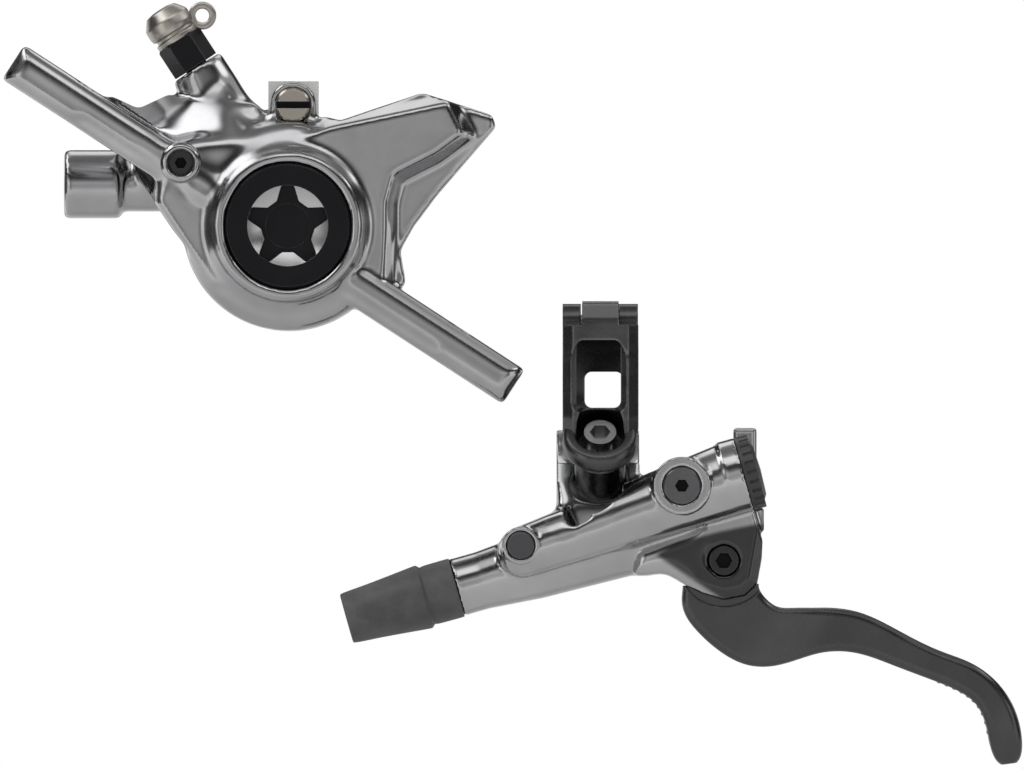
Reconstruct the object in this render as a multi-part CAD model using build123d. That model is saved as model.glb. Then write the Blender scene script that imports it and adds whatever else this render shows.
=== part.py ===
from build123d import *
from math import cos, radians, sin, sqrt, tan
import os

# Hydraulic disc brake set: lever with master cylinder, and two-piston caliper.
# Millimetres. X runs along the handlebar, Z is up, Y is the depth, with the shown faces at -Y.
# The origin is the centre of the handlebar bore of the lever clamp.

# General clearances
running_gap = 0.05
free_gap = 0.3
seat_gap = 0.02

# Handlebar clamp, seen in the YZ plane
bar_radius = 11.1
clamp_wall = 2.9
clamp_left = -6.2
clamp_right = 6.4
clamp_tilt = 43.0
hinge_reach = 14.6
hinge_pin_radius = 1.1
knuckle_radius = 2.9
tongue_half = 3.05
ear_reach = 15.5
ear_radius = 6.3
ear_thickness = 4.5
clamp_split_gap = 0.6
bolt_radius = 2.0
bolt_head_radius = 2.7
bolt_head_height = 4.0
bolt_head_proud = 0.7
bolt_hex_flats = 3.0
bolt_length = 13.0
counterbore_radius = 4.0
boss_radius = 4.25
boss_length = 7.0
shoulder_height = 10.0
band_chamfer = 1.7
band_front = 14.9
bar_clearance = 0.15
band_bend = 3.5
foot_low = -13.2
window_width = 7.4
window_height = 11.3
window_corner = 1.2
rear_window_width = 6.4
rear_window_height = 6.0

# Master cylinder: an axis that rises to the right, in the blade's plane
lever_y = -3.5
cylinder_tilt = 15.75
cylinder_start_x = -36.0
cylinder_start_z = -37.21
tube_radius = 4.85
tube_length = 17.0
barrel_radius = 6.1
barrel_length = 56.0
bore_radius = 4.25
bore_start = 22.0
bore_end = 56.0
port_radius = 2.6
port_depth = 15.0
feed_radius = 0.8

# Reservoir pod in front of the cylinder
pod_left_x = -12.83
pod_left_z = -27.83
pod_left_radius = 4.2
pod_right_x = 23.96
pod_right_z = -14.83
pod_right_radius = 6.25
pod_depth = -7.0
reservoir_wall = 1.5
reservoir_depth = 30.0
cap_flange_thickness = 2.2
cap_plug_length = 3.0
cap_rib_count = 24
plug_x = -13.2
plug_z = -26.7
plug_radius = 2.3
plug_ring = 3.1
bleed_x = 13.6
bleed_z = -16.75
bleed_radius = 3.15
bleed_boss_radius = 4.8
bleed_boss_face = -13.6
bleed_hex_flats = 2.0
bleed_head_depth = 1.1
bleed_ring_depth = 0.8
bleed_ring_radius = 2.6
bleed_shank_radius = 1.85
reservoir_radius = 4.1

# Clevis and blade pivot
pivot_x = 20.65
pivot_z = -29.25
pivot_bolt_radius = 2.6
pivot_shank_radius = 1.9
cheek_outer = 7.0
slot_half = 4.5
arm_slot_half = 2.4
cheek_chamfer = 1.4
blade_eye_radius = 4.9
blade_step_radius = 7.75
blade_root_half = 4.1
blade_body_half = 5.2
blade_neck_half = 3.4
blade_tip_half = 5.0
blade_corner = 1.3
bush_wall = 0.6
bush_flange = 0.35
spring_recess = 2.0
spring_recess_radius = 3.9
torsion_coil_radius = 3.2
torsion_wire = 0.35
roller_radius = 2.3
roller_pin_radius = 0.9
roller_half = 1.9
roller_lead = 14.0
blade_travel = 28.0
# Blade sections from the clevis to the tip, measured from the pivot:
# front edge x and z, rear edge x and z, half thickness
blade_sections = [
    (-6.83, -4.25, 5.83, -3.92, blade_body_half),
    (-7.00, -6.58, 6.17, -5.25, blade_body_half),
    (-6.50, -8.92, 7.00, -6.33, blade_body_half),
    (-4.50, -11.75, 8.17, -7.33, blade_body_half),
    (-1.00, -14.92, 9.83, -7.92, blade_body_half),
    (3.50, -17.33, 12.17, -7.92, blade_body_half - 0.1),
    (8.50, -17.58, 14.67, -7.92, blade_body_half - 0.4),
    (15.50, -15.58, 18.00, -7.92, blade_neck_half + 0.7),
    (20.67, -15.25, 22.33, -8.58, blade_neck_half + 0.2),
    (28.00, -17.42, 30.17, -12.25, blade_neck_half + 0.2),
    (34.17, -19.75, 36.50, -15.25, blade_tip_half - 0.9),
    (39.00, -21.75, 41.83, -17.42, blade_tip_half - 0.5),
    (41.83, -23.75, 45.50, -20.25, blade_tip_half - 0.2),
    (43.50, -26.75, 48.33, -24.42, blade_tip_half),
    (44.33, -30.42, 49.67, -29.42, blade_tip_half - 0.3),
    (45.00, -32.58, 49.67, -31.92, blade_tip_half - 0.8),
    (46.33, -34.08, 48.83, -33.75, blade_tip_half - 2.0),
]

# Master piston train
plunger_radius = 2.2
piston_length = 14.0
seal_length = 1.4
seal_groove = 1.1
spring_coil_radius = 2.9
spring_wire = 0.45
spring_turns = 6

# Hose fitting and boot
boot_radius_left = 4.33
boot_radius_peak = 5.44
boot_radius_right = 5.06
boot_length = 19.2
boot_left_x = -42.33
hose_radius = 2.5

# Caliper: places in its own frame, with the piston bore along Y and the disc plane at Y = 0
caliper_x = -52.0
caliper_y = 4.0
caliper_z = 26.5
cap_radius = 10.5
caliper_piston_radius = 10.0
rim_radius = 12.5
cone_radius = 15.2
lobe_radius = 17.5
near_face = 20.0
far_face = 19.0
plate_face = 17.0
core_face = 12.5
plate_draft = 22.0
far_draft_start = 3.0
far_draft = 12.0
pocket_half_width = 11.4
pocket_half_depth = 5.6
pocket_floor = 12.6
disc_radius = 82.0
disc_reach = 68.0
disc_slot_half = 1.6
star_radius = 6.8
star_floor_radius = 3.7
star_dish = 1.9
star_depth = 3.4

# Mounting ears
ear_angle = -33.0
ear_length = 99.4
ear_bar_thickness = 6.83
ear_end_round = 2.6
ear_mid_x = -4.07
ear_mid_z = 0.23
ear_near = -18.0
ear_far = -4.0
post_spacing = 74.0
post_hole_width = 6.6
post_hole_length = 9.6

# Nipple boss and bleed nipple
nipple_boss_x = -15.3
nipple_boss_z = 26.5
nipple_angle = 123.0
nipple_boss_radius = 4.67
nipple_boss_length = 19.0
nipple_y = -4.5
nipple_hex_flats = 7.0
nipple_hex_height = 5.6
nipple_tail_radius = 2.4

# Pad axle, grub screw and hose port
axle_x = 0.83
axle_rise = 2.67
axle_z = lobe_radius + axle_rise
axle_boss_radius = 3.9
axle_head_radius = 2.87
axle_slot = 1.15
axle_shank_radius = 1.6
axle_far = 13.0
grub_x = -17.83
grub_z = 10.5
grub_radius = 1.95
grub_boss_radius = 3.2
hose_port_x = -37.6
hose_port_z = 7.1
hose_port_y = 8.2
hose_port_radius = 5.74
hose_port_length = 9.5
hose_neck_radius = 4.6
hose_thread_radius = 3.4
hose_thread_depth = 9.0
passage_x = -12.8
passage_radius = 1.0

# Pads
plate_thickness = 1.8
lining_thickness = 2.2
pad_gap = 1.2
pad_half_width = 10.6
pad_top = 11.0
pad_bottom = -11.6
tab_left = -3.33
tab_right = 5.0
tab_top = axle_z + 4.03
lining_inset = 1.0


def slab(outline, near, far):
    """Extrude an outline drawn in X and Z from depth near to depth far."""
    return extrude(Plane.XZ.offset(-near) * outline, amount=near - far)


def disc(x, z, radius, near, far):
    """A plain cylinder along Y between two depths."""
    return slab(Pos(x, z) * Circle(radius), near, far)


def outline_of(points, corner=0.0):
    """A closed polygon face with its corners rounded."""
    face = make_face(Polyline(*points, close=True))
    if corner > 0:
        face = fillet(face.vertices(), corner)
    return face


def aimed(origin, direction):
    """A plane at origin whose normal is the direction, with its x axis kept near Y."""
    return Plane(origin=origin, x_dir=(0, 1, 0), z_dir=direction)


def rod(plane, radius, start, end):
    """A cylinder along a plane's normal, from start to end."""
    return extrude(plane.offset(start) * Circle(radius), amount=end - start)


def turned(plane, profile):
    """Revolve points (radius, distance) about a plane's normal."""
    face = make_face(Polyline(*[(r, 0, t) for r, t in profile], close=True))
    return plane.location * revolve(face, Axis.Z, 360)


def hexagon(flats):
    return RegularPolygon(radius=flats / sqrt(3), side_count=6)


# Directions worked out from the sizes
axis_dir = Vector(cos(radians(cylinder_tilt)), 0, sin(radians(cylinder_tilt)))
axis_up = Vector(-axis_dir.Z, 0, axis_dir.X)
cylinder_origin = Vector(cylinder_start_x, 0, cylinder_start_z)
cylinder = aimed(cylinder_origin, axis_dir)
pivot = Vector(pivot_x, 0, pivot_z)
pivot_height = (cylinder_origin - pivot).dot(axis_up)
arm_radius = pivot_height / cos(radians(roller_lead))
lead = radians(roller_lead)
roller_centre = pivot + axis_up * (arm_radius * cos(lead)) + axis_dir * (arm_radius * sin(lead))
roller_at = (roller_centre - cylinder_origin).dot(axis_dir)
plunger_face = roller_at - roller_radius - 0.02
stroke = 2 * arm_radius * sin(radians(blade_travel / 2))

tilt = radians(clamp_tilt)
hinge_dir = Vector(0, sin(tilt), cos(tilt))
bolt_dir = Vector(0, cos(tilt), -sin(tilt))
hinge_centre = hinge_dir * hinge_reach
bolt_cross = hinge_dir * -ear_reach
bolt_plane = Plane(origin=bolt_cross, x_dir=(1, 0, 0), z_dir=bolt_dir)
clamp_width = clamp_right - clamp_left
clamp_middle = (clamp_left + clamp_right) / 2
clamp_outer = bar_radius + clamp_wall

pod_left = Vector(pod_left_x, pod_depth, pod_left_z)
pod_right = Vector(pod_right_x, pod_depth, pod_right_z)
pod_dir = (pod_right - pod_left).normalized()
pod_length = (pod_right - pod_left).length
pod = aimed(pod_left, pod_dir)
pod_end = aimed(pod_right, axis_dir)

ear_dir = Vector(cos(radians(ear_angle)), 0, sin(radians(ear_angle)))
ear_up = Vector(-ear_dir.Z, 0, ear_dir.X)
ear_middle = Vector(ear_mid_x, 0, ear_mid_z)
nipple_top = Vector(nipple_boss_x, nipple_y, nipple_boss_z)
nipple_dir = Vector(cos(radians(nipple_angle)), 0, sin(radians(nipple_angle)))
nipple_side = Vector(nipple_dir.Z, 0, -nipple_dir.X)
nipple = aimed(nipple_top, nipple_dir)
caliper_place = Pos(caliper_x, caliper_y, caliper_z)
lever_place = Pos(0, lever_y, 0)


# Clamp
def ring_half(side):
    """Half of the clamp ring on one side of its split plane, with its outer corners bevelled."""
    ring_plane = Plane(origin=(clamp_left, 0, 0), x_dir=(0, 1, 0), z_dir=(1, 0, 0))
    low = clamp_outer - band_chamfer
    ring = turned(
        ring_plane,
        [
            (bar_radius, 0),
            (low, 0),
            (clamp_outer, band_chamfer),
            (clamp_outer, clamp_width - band_chamfer),
            (low, clamp_width),
            (bar_radius, clamp_width),
        ],
    )
    half = Plane(origin=(clamp_middle, 0, 0), x_dir=(1, 0, 0), z_dir=bolt_dir * side)
    block = extrude(
        half.offset(clamp_split_gap / 2) * Rectangle(2 * clamp_width, 4 * clamp_outer),
        amount=2 * clamp_outer,
    )
    return ring & block


def front_band():
    """The front half's band: its side profile carried across the width, and its rounded foot."""
    plane = Plane(origin=(clamp_left, 0, 0), x_dir=(0, 1, 0), z_dir=(1, 0, 0))
    profile = outline_of(
        [
            (12.0, 12.0),
            (0.0, clamp_outer),
            (-5.4, clamp_outer - 0.4),
            (-10.4, 10.9),
            (-band_front, 5.0),
            (-band_front, -5.6),
            (-band_front + 3.9, foot_low - 3.0),
            (2.0, foot_low - 3.0),
        ]
    )
    half = clamp_width / 2
    front = [v for v in profile.vertices() if v.X < -5.0 and v.Y > foot_low]
    band = extrude(plane * fillet(front, band_bend), amount=clamp_width)
    sides = band.edges().filter_by(lambda e: abs(e.center().X - clamp_middle) > half - 0.01)
    band = chamfer(sides.filter_by(lambda e: e.center().Y < -5.0), band_chamfer)
    foot = Pos(clamp_middle, foot_low + half) * Circle(half)
    foot += Pos(clamp_middle, foot_low + half + 20.0) * Rectangle(clamp_width, 40.0)
    return band & slab(foot, -30.0, 30.0)


def front_side(gap):
    """Everything in front of the plane that splits the clamp, less a gap."""
    half = Plane(origin=(clamp_middle, 0, 0), x_dir=(1, 0, 0), z_dir=bolt_dir * -1)
    block = half.offset(gap) * Rectangle(3 * clamp_width, 6 * clamp_outer)
    return extrude(block, amount=3 * clamp_outer)


def window(width, height, z_middle, x_middle, near, far):
    return slab(Pos(x_middle, z_middle) * RectangleRounded(width, height, window_corner), near, far)


def clamp_front_half():
    body = front_band() & front_side(clamp_split_gap / 2)
    tongue_plane = Plane(origin=hinge_centre + Vector(-tongue_half, 0, 0), x_dir=(0, 1, 0), z_dir=(1, 0, 0))
    body += extrude(tongue_plane * Circle(knuckle_radius), amount=2 * tongue_half)
    bar_space = rod(Plane.YZ, bar_radius, clamp_left - 1, clamp_right + 1)
    body -= bar_space
    for left, right in ((clamp_left - 1, -tongue_half), (tongue_half, clamp_right + 1)):
        relief = Plane(origin=hinge_centre + Vector(left, 0, 0), x_dir=(0, 1, 0), z_dir=(1, 0, 0))
        body -= extrude(relief * Circle(knuckle_radius + free_gap), amount=right - left)
    pin_line = Plane(origin=hinge_centre, x_dir=(0, 1, 0), z_dir=(1, 0, 0))
    body -= rod(pin_line, hinge_pin_radius + seat_gap, clamp_left - 1, clamp_right + 1)
    # Above the shoulders only the tongue goes on to the hinge
    for left, right in ((clamp_left - 1, clamp_middle - tongue_half), (clamp_middle + tongue_half, clamp_right + 1)):
        corner = Box(right - left, 60, 30, align=(Align.MIN, Align.CENTER, Align.MIN))
        body -= Pos(left, 0, shoulder_height) * corner
        body -= Pos(left, 30, 0) * corner
    body -= window(window_width, window_height, 1.85, -0.25, -band_front - 2, 0)
    # The window's mouth is bevelled
    mouth = Plane(origin=(-0.25, -band_front - 0.02, 1.85), x_dir=(1, 0, 0), z_dir=(0, -1, 0))
    wide = RectangleRounded(window_width + 2.0, window_height + 2.0, window_corner + 0.9)
    body -= extrude(mouth * wide, amount=-1.6, taper=32)
    body -= rod(bolt_plane, bolt_radius + 0.25, -2 * ear_thickness, 1)
    body -= rod(bolt_plane, counterbore_radius, -3 * ear_thickness, bolt_head_seat())
    return body


def bolt_head_seat():
    """Distance along the bolt at which its head seats."""
    return -ear_thickness - bolt_head_proud + bolt_head_height


def clamp_rear_half():
    body = ring_half(1)
    for left, right in ((clamp_left, -tongue_half - 0.1), (tongue_half + 0.1, clamp_right)):
        knuckle = Plane(origin=hinge_centre + Vector(left, 0, 0), x_dir=(0, 1, 0), z_dir=(1, 0, 0))
        body += extrude(knuckle * Circle(knuckle_radius), amount=right - left)
    body += rod(bolt_plane, boss_radius, clamp_split_gap / 2, boss_length)
    relief = Plane(origin=hinge_centre + Vector(-tongue_half - 0.1, 0, 0), x_dir=(0, 1, 0), z_dir=(1, 0, 0))
    body -= extrude(relief * Circle(knuckle_radius + free_gap), amount=2 * tongue_half + 0.2)
    body -= rod(Plane.YZ, bar_radius, clamp_left - 1, clamp_right + 1)
    pin_line = Plane(origin=hinge_centre, x_dir=(0, 1, 0), z_dir=(1, 0, 0))
    body -= rod(pin_line, hinge_pin_radius + seat_gap, clamp_left - 1, clamp_right + 1)
    body -= window(rear_window_width, rear_window_height, -0.8, 0.7, 0, clamp_outer + 2)
    body -= rod(bolt_plane, bolt_radius + seat_gap, -1, boss_length + 1)
    return body


def clamp_hinge_pin():
    pin_line = Plane(origin=hinge_centre, x_dir=(0, 1, 0), z_dir=(1, 0, 0))
    return rod(pin_line, hinge_pin_radius, clamp_left + 0.2, clamp_right - 0.2)


def clamp_bolt():
    seat = bolt_head_seat()
    head_top = seat - bolt_head_height
    body = rod(bolt_plane, bolt_head_radius, head_top, seat)
    body += rod(bolt_plane, bolt_radius, seat, seat + bolt_length)
    socket = extrude(bolt_plane.offset(head_top) * hexagon(bolt_hex_flats), amount=2.2)
    return body - socket


# Lever body
def pod_outline(shrink=0.0):
    """The tapered, round-ended silhouette of the reservoir pod, in X and Z."""
    flat_dir = Vector(pod_dir.X, pod_dir.Z)
    flat_up = Vector(-flat_dir.Y, flat_dir.X)
    left = Vector(pod_left_x, pod_left_z)
    right = Vector(pod_right_x, pod_right_z) + flat_dir * 1.5
    small = pod_left_radius - shrink
    large = pod_right_radius - shrink
    wedge = outline_of(
        [
            left + flat_up * small,
            left - flat_up * small,
            right - flat_up * large,
            right + flat_up * large,
        ]
    )
    return wedge + Pos(left.X, left.Y) * Circle(small)


def cheek_outline():
    """Outline of the clevis cheeks: a sloping top, a round lug at the pivot and a stepped underside."""
    lug = 6.6
    low = pivot_z - lug
    points = [
        (pivot_x - 15.2, pivot_z - 2.6),
        (pivot_x - 12.6, pivot_z - 2.6),
        (pivot_x - 10.0, pivot_z - 2.1),
        (pivot_x - 6.8, pivot_z - 3.9),
        (pivot_x - 3.6, pivot_z - 5.5),
        (pivot_x, low),
        (pivot_x + 3.5, pivot_z - 5.9),
        (pivot_x + 5.5, pivot_z - 4.1),
        (pivot_x + 6.3, pivot_z + 0.3),
        (pivot_x + 6.7, pivot_z + 8.5),
        (pivot_x + 5.3, pivot_z + 8.5),
        (pivot_x - 14.0, pivot_z + 1.4),
    ]
    return outline_of(points)


def blade_slot():
    """The clevis slot: wide round the blade's eye and narrow round its short arm."""
    eye_room = blade_eye_radius + 2.6
    wide = disc(pivot_x, pivot_z, eye_room, -slot_half, slot_half)
    low = outline_of(
        [
            (pivot_x - eye_room, pivot_z),
            (pivot_x + 8.0, pivot_z),
            (pivot_x + 8.0, pivot_z - 9.0),
            (pivot_x - eye_room, pivot_z - 9.0),
        ]
    )
    right = outline_of(
        [
            (pivot_x, pivot_z),
            (pivot_x + 8.0, pivot_z),
            (pivot_x + 8.0, pivot_z + 5.0),
            (pivot_x, pivot_z + eye_room),
        ]
    )
    arm_far = arm_radius + roller_radius + 0.7
    arm_room = disc(pivot_x, pivot_z, arm_far, -arm_slot_half, arm_slot_half)
    arm_keep = slab(
        outline_of(
            [
                (pivot_x - 6.0, pivot_z),
                (pivot_x + 8.0, pivot_z),
                (pivot_x + 8.0, pivot_z + 12.0),
                (pivot_x - 6.0, pivot_z + 12.0),
            ]
        ),
        -slot_half,
        slot_half,
    )
    return wide + slab(low, -slot_half, slot_half) + slab(right, -slot_half, slot_half) + (arm_room & arm_keep)


def clamp_arm():
    """The arm that rises from the cylinder to the saddle under the clamp's rear half."""
    inner = clamp_outer + seat_gap
    profile = Plane(origin=(clamp_left - 1.0, 0, 0), x_dir=(0, 1, 0), z_dir=(1, 0, 0)) * outline_of(
        [
            (-9.0, -20.0),
            (-5.0, -12.5),
            (4.0, -12.0),
            (11.0, -8.0),
            (15.5, -7.5),
            (16.0, -11.0),
            (10.0, -20.0),
            (3.0, -28.0),
            (-3.5, -31.0),
            (-10.0, -27.0),
        ]
    )
    arm = extrude(profile, amount=clamp_width + 1.2)
    arm -= rod(Plane.YZ, inner, clamp_left - 3, clamp_right + 3)
    return arm


def rear_lug():
    """The upright lug behind the reservoir cap."""
    lug = Pos(24.3, -16.0) * RectangleRounded(3.9, 17.6, 0.4)
    return slab(lug, 9.0, 12.5) + slab(Pos(22.8, -21.5) * Rectangle(6.9, 6.6), 2.0, 12.5)


def cylinder_hollows():
    """The master bore and its outlet."""
    return rod(cylinder, bore_radius, bore_start, bore_end + 4) + rod(cylinder, port_radius - 1.2, port_depth, bore_start + 1)


def housing():
    """Cylinder, reservoir pod and clevis, about the cylinder's own plane."""
    tube = turned(
        cylinder,
        [
            (0, 12.6),
            (tube_radius, 12.6),
            (tube_radius, tube_length),
            (barrel_radius - 0.5, 26.0),
            (barrel_radius, 44.0),
            (barrel_radius, barrel_length),
            (0, barrel_length),
        ],
    )
    cone = pod.location * Solid.make_cone(pod_left_radius, pod_right_radius, pod_length)
    cone += rod(pod.offset(pod_length), pod_right_radius, 0, 2.0)
    body = tube + cone
    body += Pos(pod_left.X, pod_left.Y, pod_left.Z) * Sphere(pod_left_radius)
    body += slab(pod_outline(), pod_depth, 2.0)
    cheeks = slab(cheek_outline(), -cheek_outer, cheek_outer)
    faces = cheeks.faces().sort_by(Axis.Y)
    rims = (faces[0].edges() + faces[-1].edges()).filter_by(lambda e: e.center().Z < pivot_z - 1)
    body += chamfer(rims, cheek_chamfer)
    body += disc(bleed_x, bleed_z, bleed_boss_radius, bleed_boss_face, pod_depth)
    body += disc(plug_x, plug_z, plug_ring, pod_depth - pod_left_radius - 0.35, pod_depth)
    # The reservoir's open end is square to the cylinder
    body -= extrude(pod_end * Circle(3 * pod_right_radius), amount=2.5)
    body += rod(pod_end, pod_right_radius, -3.0, 0)
    body += slab(cheek_tail(), -cheek_outer + cheek_chamfer, cheek_outer)
    # Bores and cuts
    body -= rod(pod_end, pod_right_radius - reservoir_wall, -cap_plug_length - 0.5, 1)
    body -= rod(pod_end, reservoir_radius, -reservoir_depth, 0)
    body -= rod(pod_end, pod_right_radius + seat_gap, 0, 6)
    body -= cylinder_hollows()
    body -= rod(cylinder, hose_radius + 0.9, 0, port_depth)
    for at in (30.0, 33.0):
        feed = Plane(origin=cylinder_origin + axis_dir * at, z_dir=(0, -1, 0))
        body -= rod(feed, feed_radius, 0, -pod_depth)
    body -= blade_slot()
    body -= disc(pivot_x, pivot_z, pivot_shank_radius + seat_gap, -cheek_outer - 1, cheek_outer + 1)
    body -= disc(pivot_x, pivot_z, pivot_bolt_radius + running_gap, -cheek_outer - 1, -cheek_outer + 1.6)
    seat = bleed_boss_face + bleed_head_depth
    body -= disc(bleed_x, bleed_z, bleed_radius + running_gap, bleed_boss_face - 1, seat)
    body -= disc(bleed_x, bleed_z, bleed_ring_radius + seat_gap, seat - 1, seat + bleed_ring_depth)
    body -= disc(bleed_x, bleed_z, bleed_shank_radius + seat_gap, bleed_boss_face - 1, pod_depth)
    plug_face = pod_depth - pod_left_radius - 0.35
    body -= disc(plug_x, plug_z, plug_radius + running_gap, plug_face - 1, plug_face + 1.2)
    return body


def lever_body():
    """The housing set in front of the bar, with the arm and lug that reach round it."""
    arm = clamp_arm() - lever_place * cylinder_hollows()
    body = lever_place * housing() + arm + rear_lug()
    body -= rod(bolt_plane, boss_radius + running_gap, -2, boss_length + running_gap)
    body -= rod(bolt_plane, bolt_radius + seat_gap, 0, bolt_head_seat() + bolt_length + 0.6)
    body -= rod(bolt_plane, ear_radius + 0.6, -ear_thickness - 2, 0.2)
    body -= rod(Plane.YZ, clamp_outer + seat_gap, clamp_left - 3, clamp_right + 3)
    body -= rod(Plane.YZ, bar_radius + bar_clearance, clamp_right, clamp_right + 25)
    return body.solids().sort_by(SortBy.VOLUME)[-1]


def cheek_tail():
    """The short wall under the reservoir rim that joins it to the clevis."""
    return outline_of(
        [
            (pivot_x + 2.0, pivot_z + 5.0),
            (pivot_x + 6.65, pivot_z + 5.0),
            (pivot_x + 6.65, pivot_z + 8.6),
            (pivot_x + 4.6, pivot_z + 9.6),
            (pivot_x + 1.0, pivot_z + 8.6),
        ]
    )


# Reservoir pieces
def reservoir_cap():
    """Ribbed end cap: a scalloped flange and a plug that fits the mouth."""
    flange = rod(pod_end, pod_right_radius, 0, cap_flange_thickness)
    for i in range(cap_rib_count):
        turn = radians(360 * i / cap_rib_count)
        notch_at = pod_end.from_local_coords(
            (pod_right_radius * cos(turn), pod_right_radius * sin(turn), 0)
        )
        notch = Plane(origin=notch_at, x_dir=(0, 1, 0), z_dir=axis_dir)
        flange -= rod(notch, 0.28, 0.6, cap_flange_thickness + 1)
    flange += turned(pod_end.offset(cap_flange_thickness), [(0, 0), (pod_right_radius - 1.2, 0), (4.2, 0.5), (0, 0.7)])
    plug = rod(pod_end, pod_right_radius - reservoir_wall - running_gap, -cap_plug_length, 0)
    return flange + plug - rod(pod_end, 2.8, -cap_plug_length - 1, -1.0)


def reservoir_diaphragm():
    """Rubber bellows: a thin pleated cup that hangs from the cap into the reservoir."""
    start = -cap_plug_length - 0.02
    outer = [(3.9, start), (3.9, start - 1.4)]
    folds = 4
    pitch = 3.0
    for i in range(folds):
        at = start - 1.4 - pitch * i
        outer += [(2.9, at - pitch * 0.4), (3.8, at - pitch)]
    tip = start - 1.4 - pitch * folds
    outer += [(3.2, tip - 0.8), (0, tip - 0.8)]
    inner = [(0, tip)]
    for i in reversed(range(folds)):
        at = start - 1.4 - pitch * i
        inner += [(3.0, at - pitch), (2.2, at - pitch * 0.4)]
    inner += [(3.1, start - 1.0), (3.1, start)]
    return turned(pod_end, outer + inner)


def bleed_screw():
    seat = bleed_boss_face + bleed_head_depth
    body = disc(bleed_x, bleed_z, bleed_radius, bleed_boss_face - 0.2, seat - seat_gap)
    body = chamfer(body.faces().sort_by(Axis.Y)[0].edges(), 0.3)
    body += disc(bleed_x, bleed_z, bleed_shank_radius, seat - seat_gap, pod_depth - reservoir_radius - 0.1)
    return body - slab(Pos(bleed_x, bleed_z) * hexagon(bleed_hex_flats), bleed_boss_face - 1, seat + 0.4)


def side_plug():
    face = pod_depth - pod_left_radius - 0.35
    plug = disc(plug_x, plug_z, plug_radius, face - 0.15, face + 1.15)
    return chamfer(plug.faces().sort_by(Axis.Y)[0].edges(), 0.2)


def ring_on(plane, outer, inner, start, end):
    return rod(plane, outer, start, end) - rod(plane, inner, start - 1, end + 1)


def bleed_screw_oring():
    seat = bleed_boss_face + bleed_head_depth
    ring = disc(bleed_x, bleed_z, bleed_ring_radius, seat, seat + bleed_ring_depth - seat_gap)
    return ring - disc(bleed_x, bleed_z, bleed_shank_radius + seat_gap, seat - 1, seat + 2)


# Blade


def blade_section(front_x, front_z, rear_x, rear_z, half):
    """A rounded rectangle across the blade between its front and rear edges."""
    across = Vector(rear_x - front_x, 0, rear_z - front_z)
    middle = pivot + Vector(front_x + rear_x, 0, front_z + rear_z) * 0.5
    plane = Plane(origin=middle, x_dir=across, z_dir=across.cross(Vector(0, 1, 0)))
    corner = min(blade_corner, 0.45 * across.length)
    return plane * RectangleRounded(across.length, 2 * half, corner)


def lever_blade():
    body = loft([blade_section(*row) for row in blade_sections])
    # Everything inside the clevis is narrow
    step_radius = blade_step_radius
    for near, far in ((-9, -blade_root_half), (blade_root_half, 9)):
        body -= disc(pivot_x, pivot_z, step_radius, near, far)
    eye = disc(pivot_x, pivot_z, blade_eye_radius, -blade_root_half, blade_root_half)
    body += eye
    body += short_arm()
    body -= disc(pivot_x, pivot_z, pivot_shank_radius + bush_wall + seat_gap, -9, 9)
    body -= disc(pivot_x, pivot_z, spring_recess_radius, spring_recess, 9)
    centre = (roller_centre.X, roller_centre.Z)
    body -= disc(centre[0], centre[1], roller_radius + 0.25, -roller_half + 0.65, roller_half - 0.65)
    body -= disc(centre[0], centre[1], roller_pin_radius + seat_gap, -9, 9)
    for i in range(5):
        along = i / 4
        x = pivot_x + 40.3 + 5.3 * along - 0.6 * sin(radians(180 * along))
        z = pivot_z - 21.9 - 7.2 * along - 0.6 * sin(radians(180 * along))
        for y in (-2.6, 0.0, 2.6):
            body -= Pos(x - 0.9, y, z - 1.0) * Sphere(0.8)
    return body.solids().sort_by(SortBy.VOLUME)[-1]


def short_arm():
    """The arm that carries the roller above the eye, forked round it."""
    arm = outline_of(
        [
            (pivot_x - 1.0, pivot_z + 2.0),
            (roller_centre.X - 1.0, roller_centre.Z - 0.4),
            (roller_centre.X + 1.5, roller_centre.Z - 0.4),
            (pivot_x + 2.9, pivot_z + 2.0),
        ]
    )
    knob = disc(roller_centre.X, roller_centre.Z, 1.7, -roller_half, roller_half)
    return slab(arm, -roller_half, roller_half) + knob


def cam_roller():
    across = roller_half - 0.75
    body = disc(roller_centre.X, roller_centre.Z, roller_radius, -across, across)
    return body - disc(roller_centre.X, roller_centre.Z, roller_pin_radius + running_gap, -9, 9)


def cam_roller_pin():
    return disc(roller_centre.X, roller_centre.Z, roller_pin_radius, -roller_half, roller_half)


def blade_pivot_bolt():
    body = disc(pivot_x, pivot_z, pivot_shank_radius, -cheek_outer + 1.0, cheek_outer - 0.2)
    head = disc(pivot_x, pivot_z, pivot_bolt_radius, -cheek_outer + 0.2, -cheek_outer + 1.55)
    head = chamfer(head.faces().sort_by(Axis.Y)[0].edges(), 0.25)
    body += head
    return body - slab(Pos(pivot_x, pivot_z) * hexagon(2.5), -cheek_outer, -cheek_outer + 2.4)


def blade_bush(side):
    outer = pivot_shank_radius + bush_wall
    near = running_gap * 2
    far = blade_root_half
    low, high = (near, far) if side > 0 else (-far, -near)
    sleeve = disc(pivot_x, pivot_z, outer, low, high)
    flange_low, flange_high = (far, far + bush_flange) if side > 0 else (-far - bush_flange, -far)
    sleeve += disc(pivot_x, pivot_z, outer + 1.2, flange_low, flange_high)
    return sleeve - disc(pivot_x, pivot_z, pivot_shank_radius + running_gap, -9, 9)


# Master piston train, at distances along the cylinder axis
piston_back = 47.2
snap_at = piston_back + 1.62
spring_seat = bore_start + 0.02


def push_plunger():
    head = rod(cylinder, plunger_radius + 0.9, piston_back + 0.02, piston_back + 1.6)
    shaft = rod(cylinder, plunger_radius, piston_back + 1.6, plunger_face)
    return head + shaft


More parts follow.
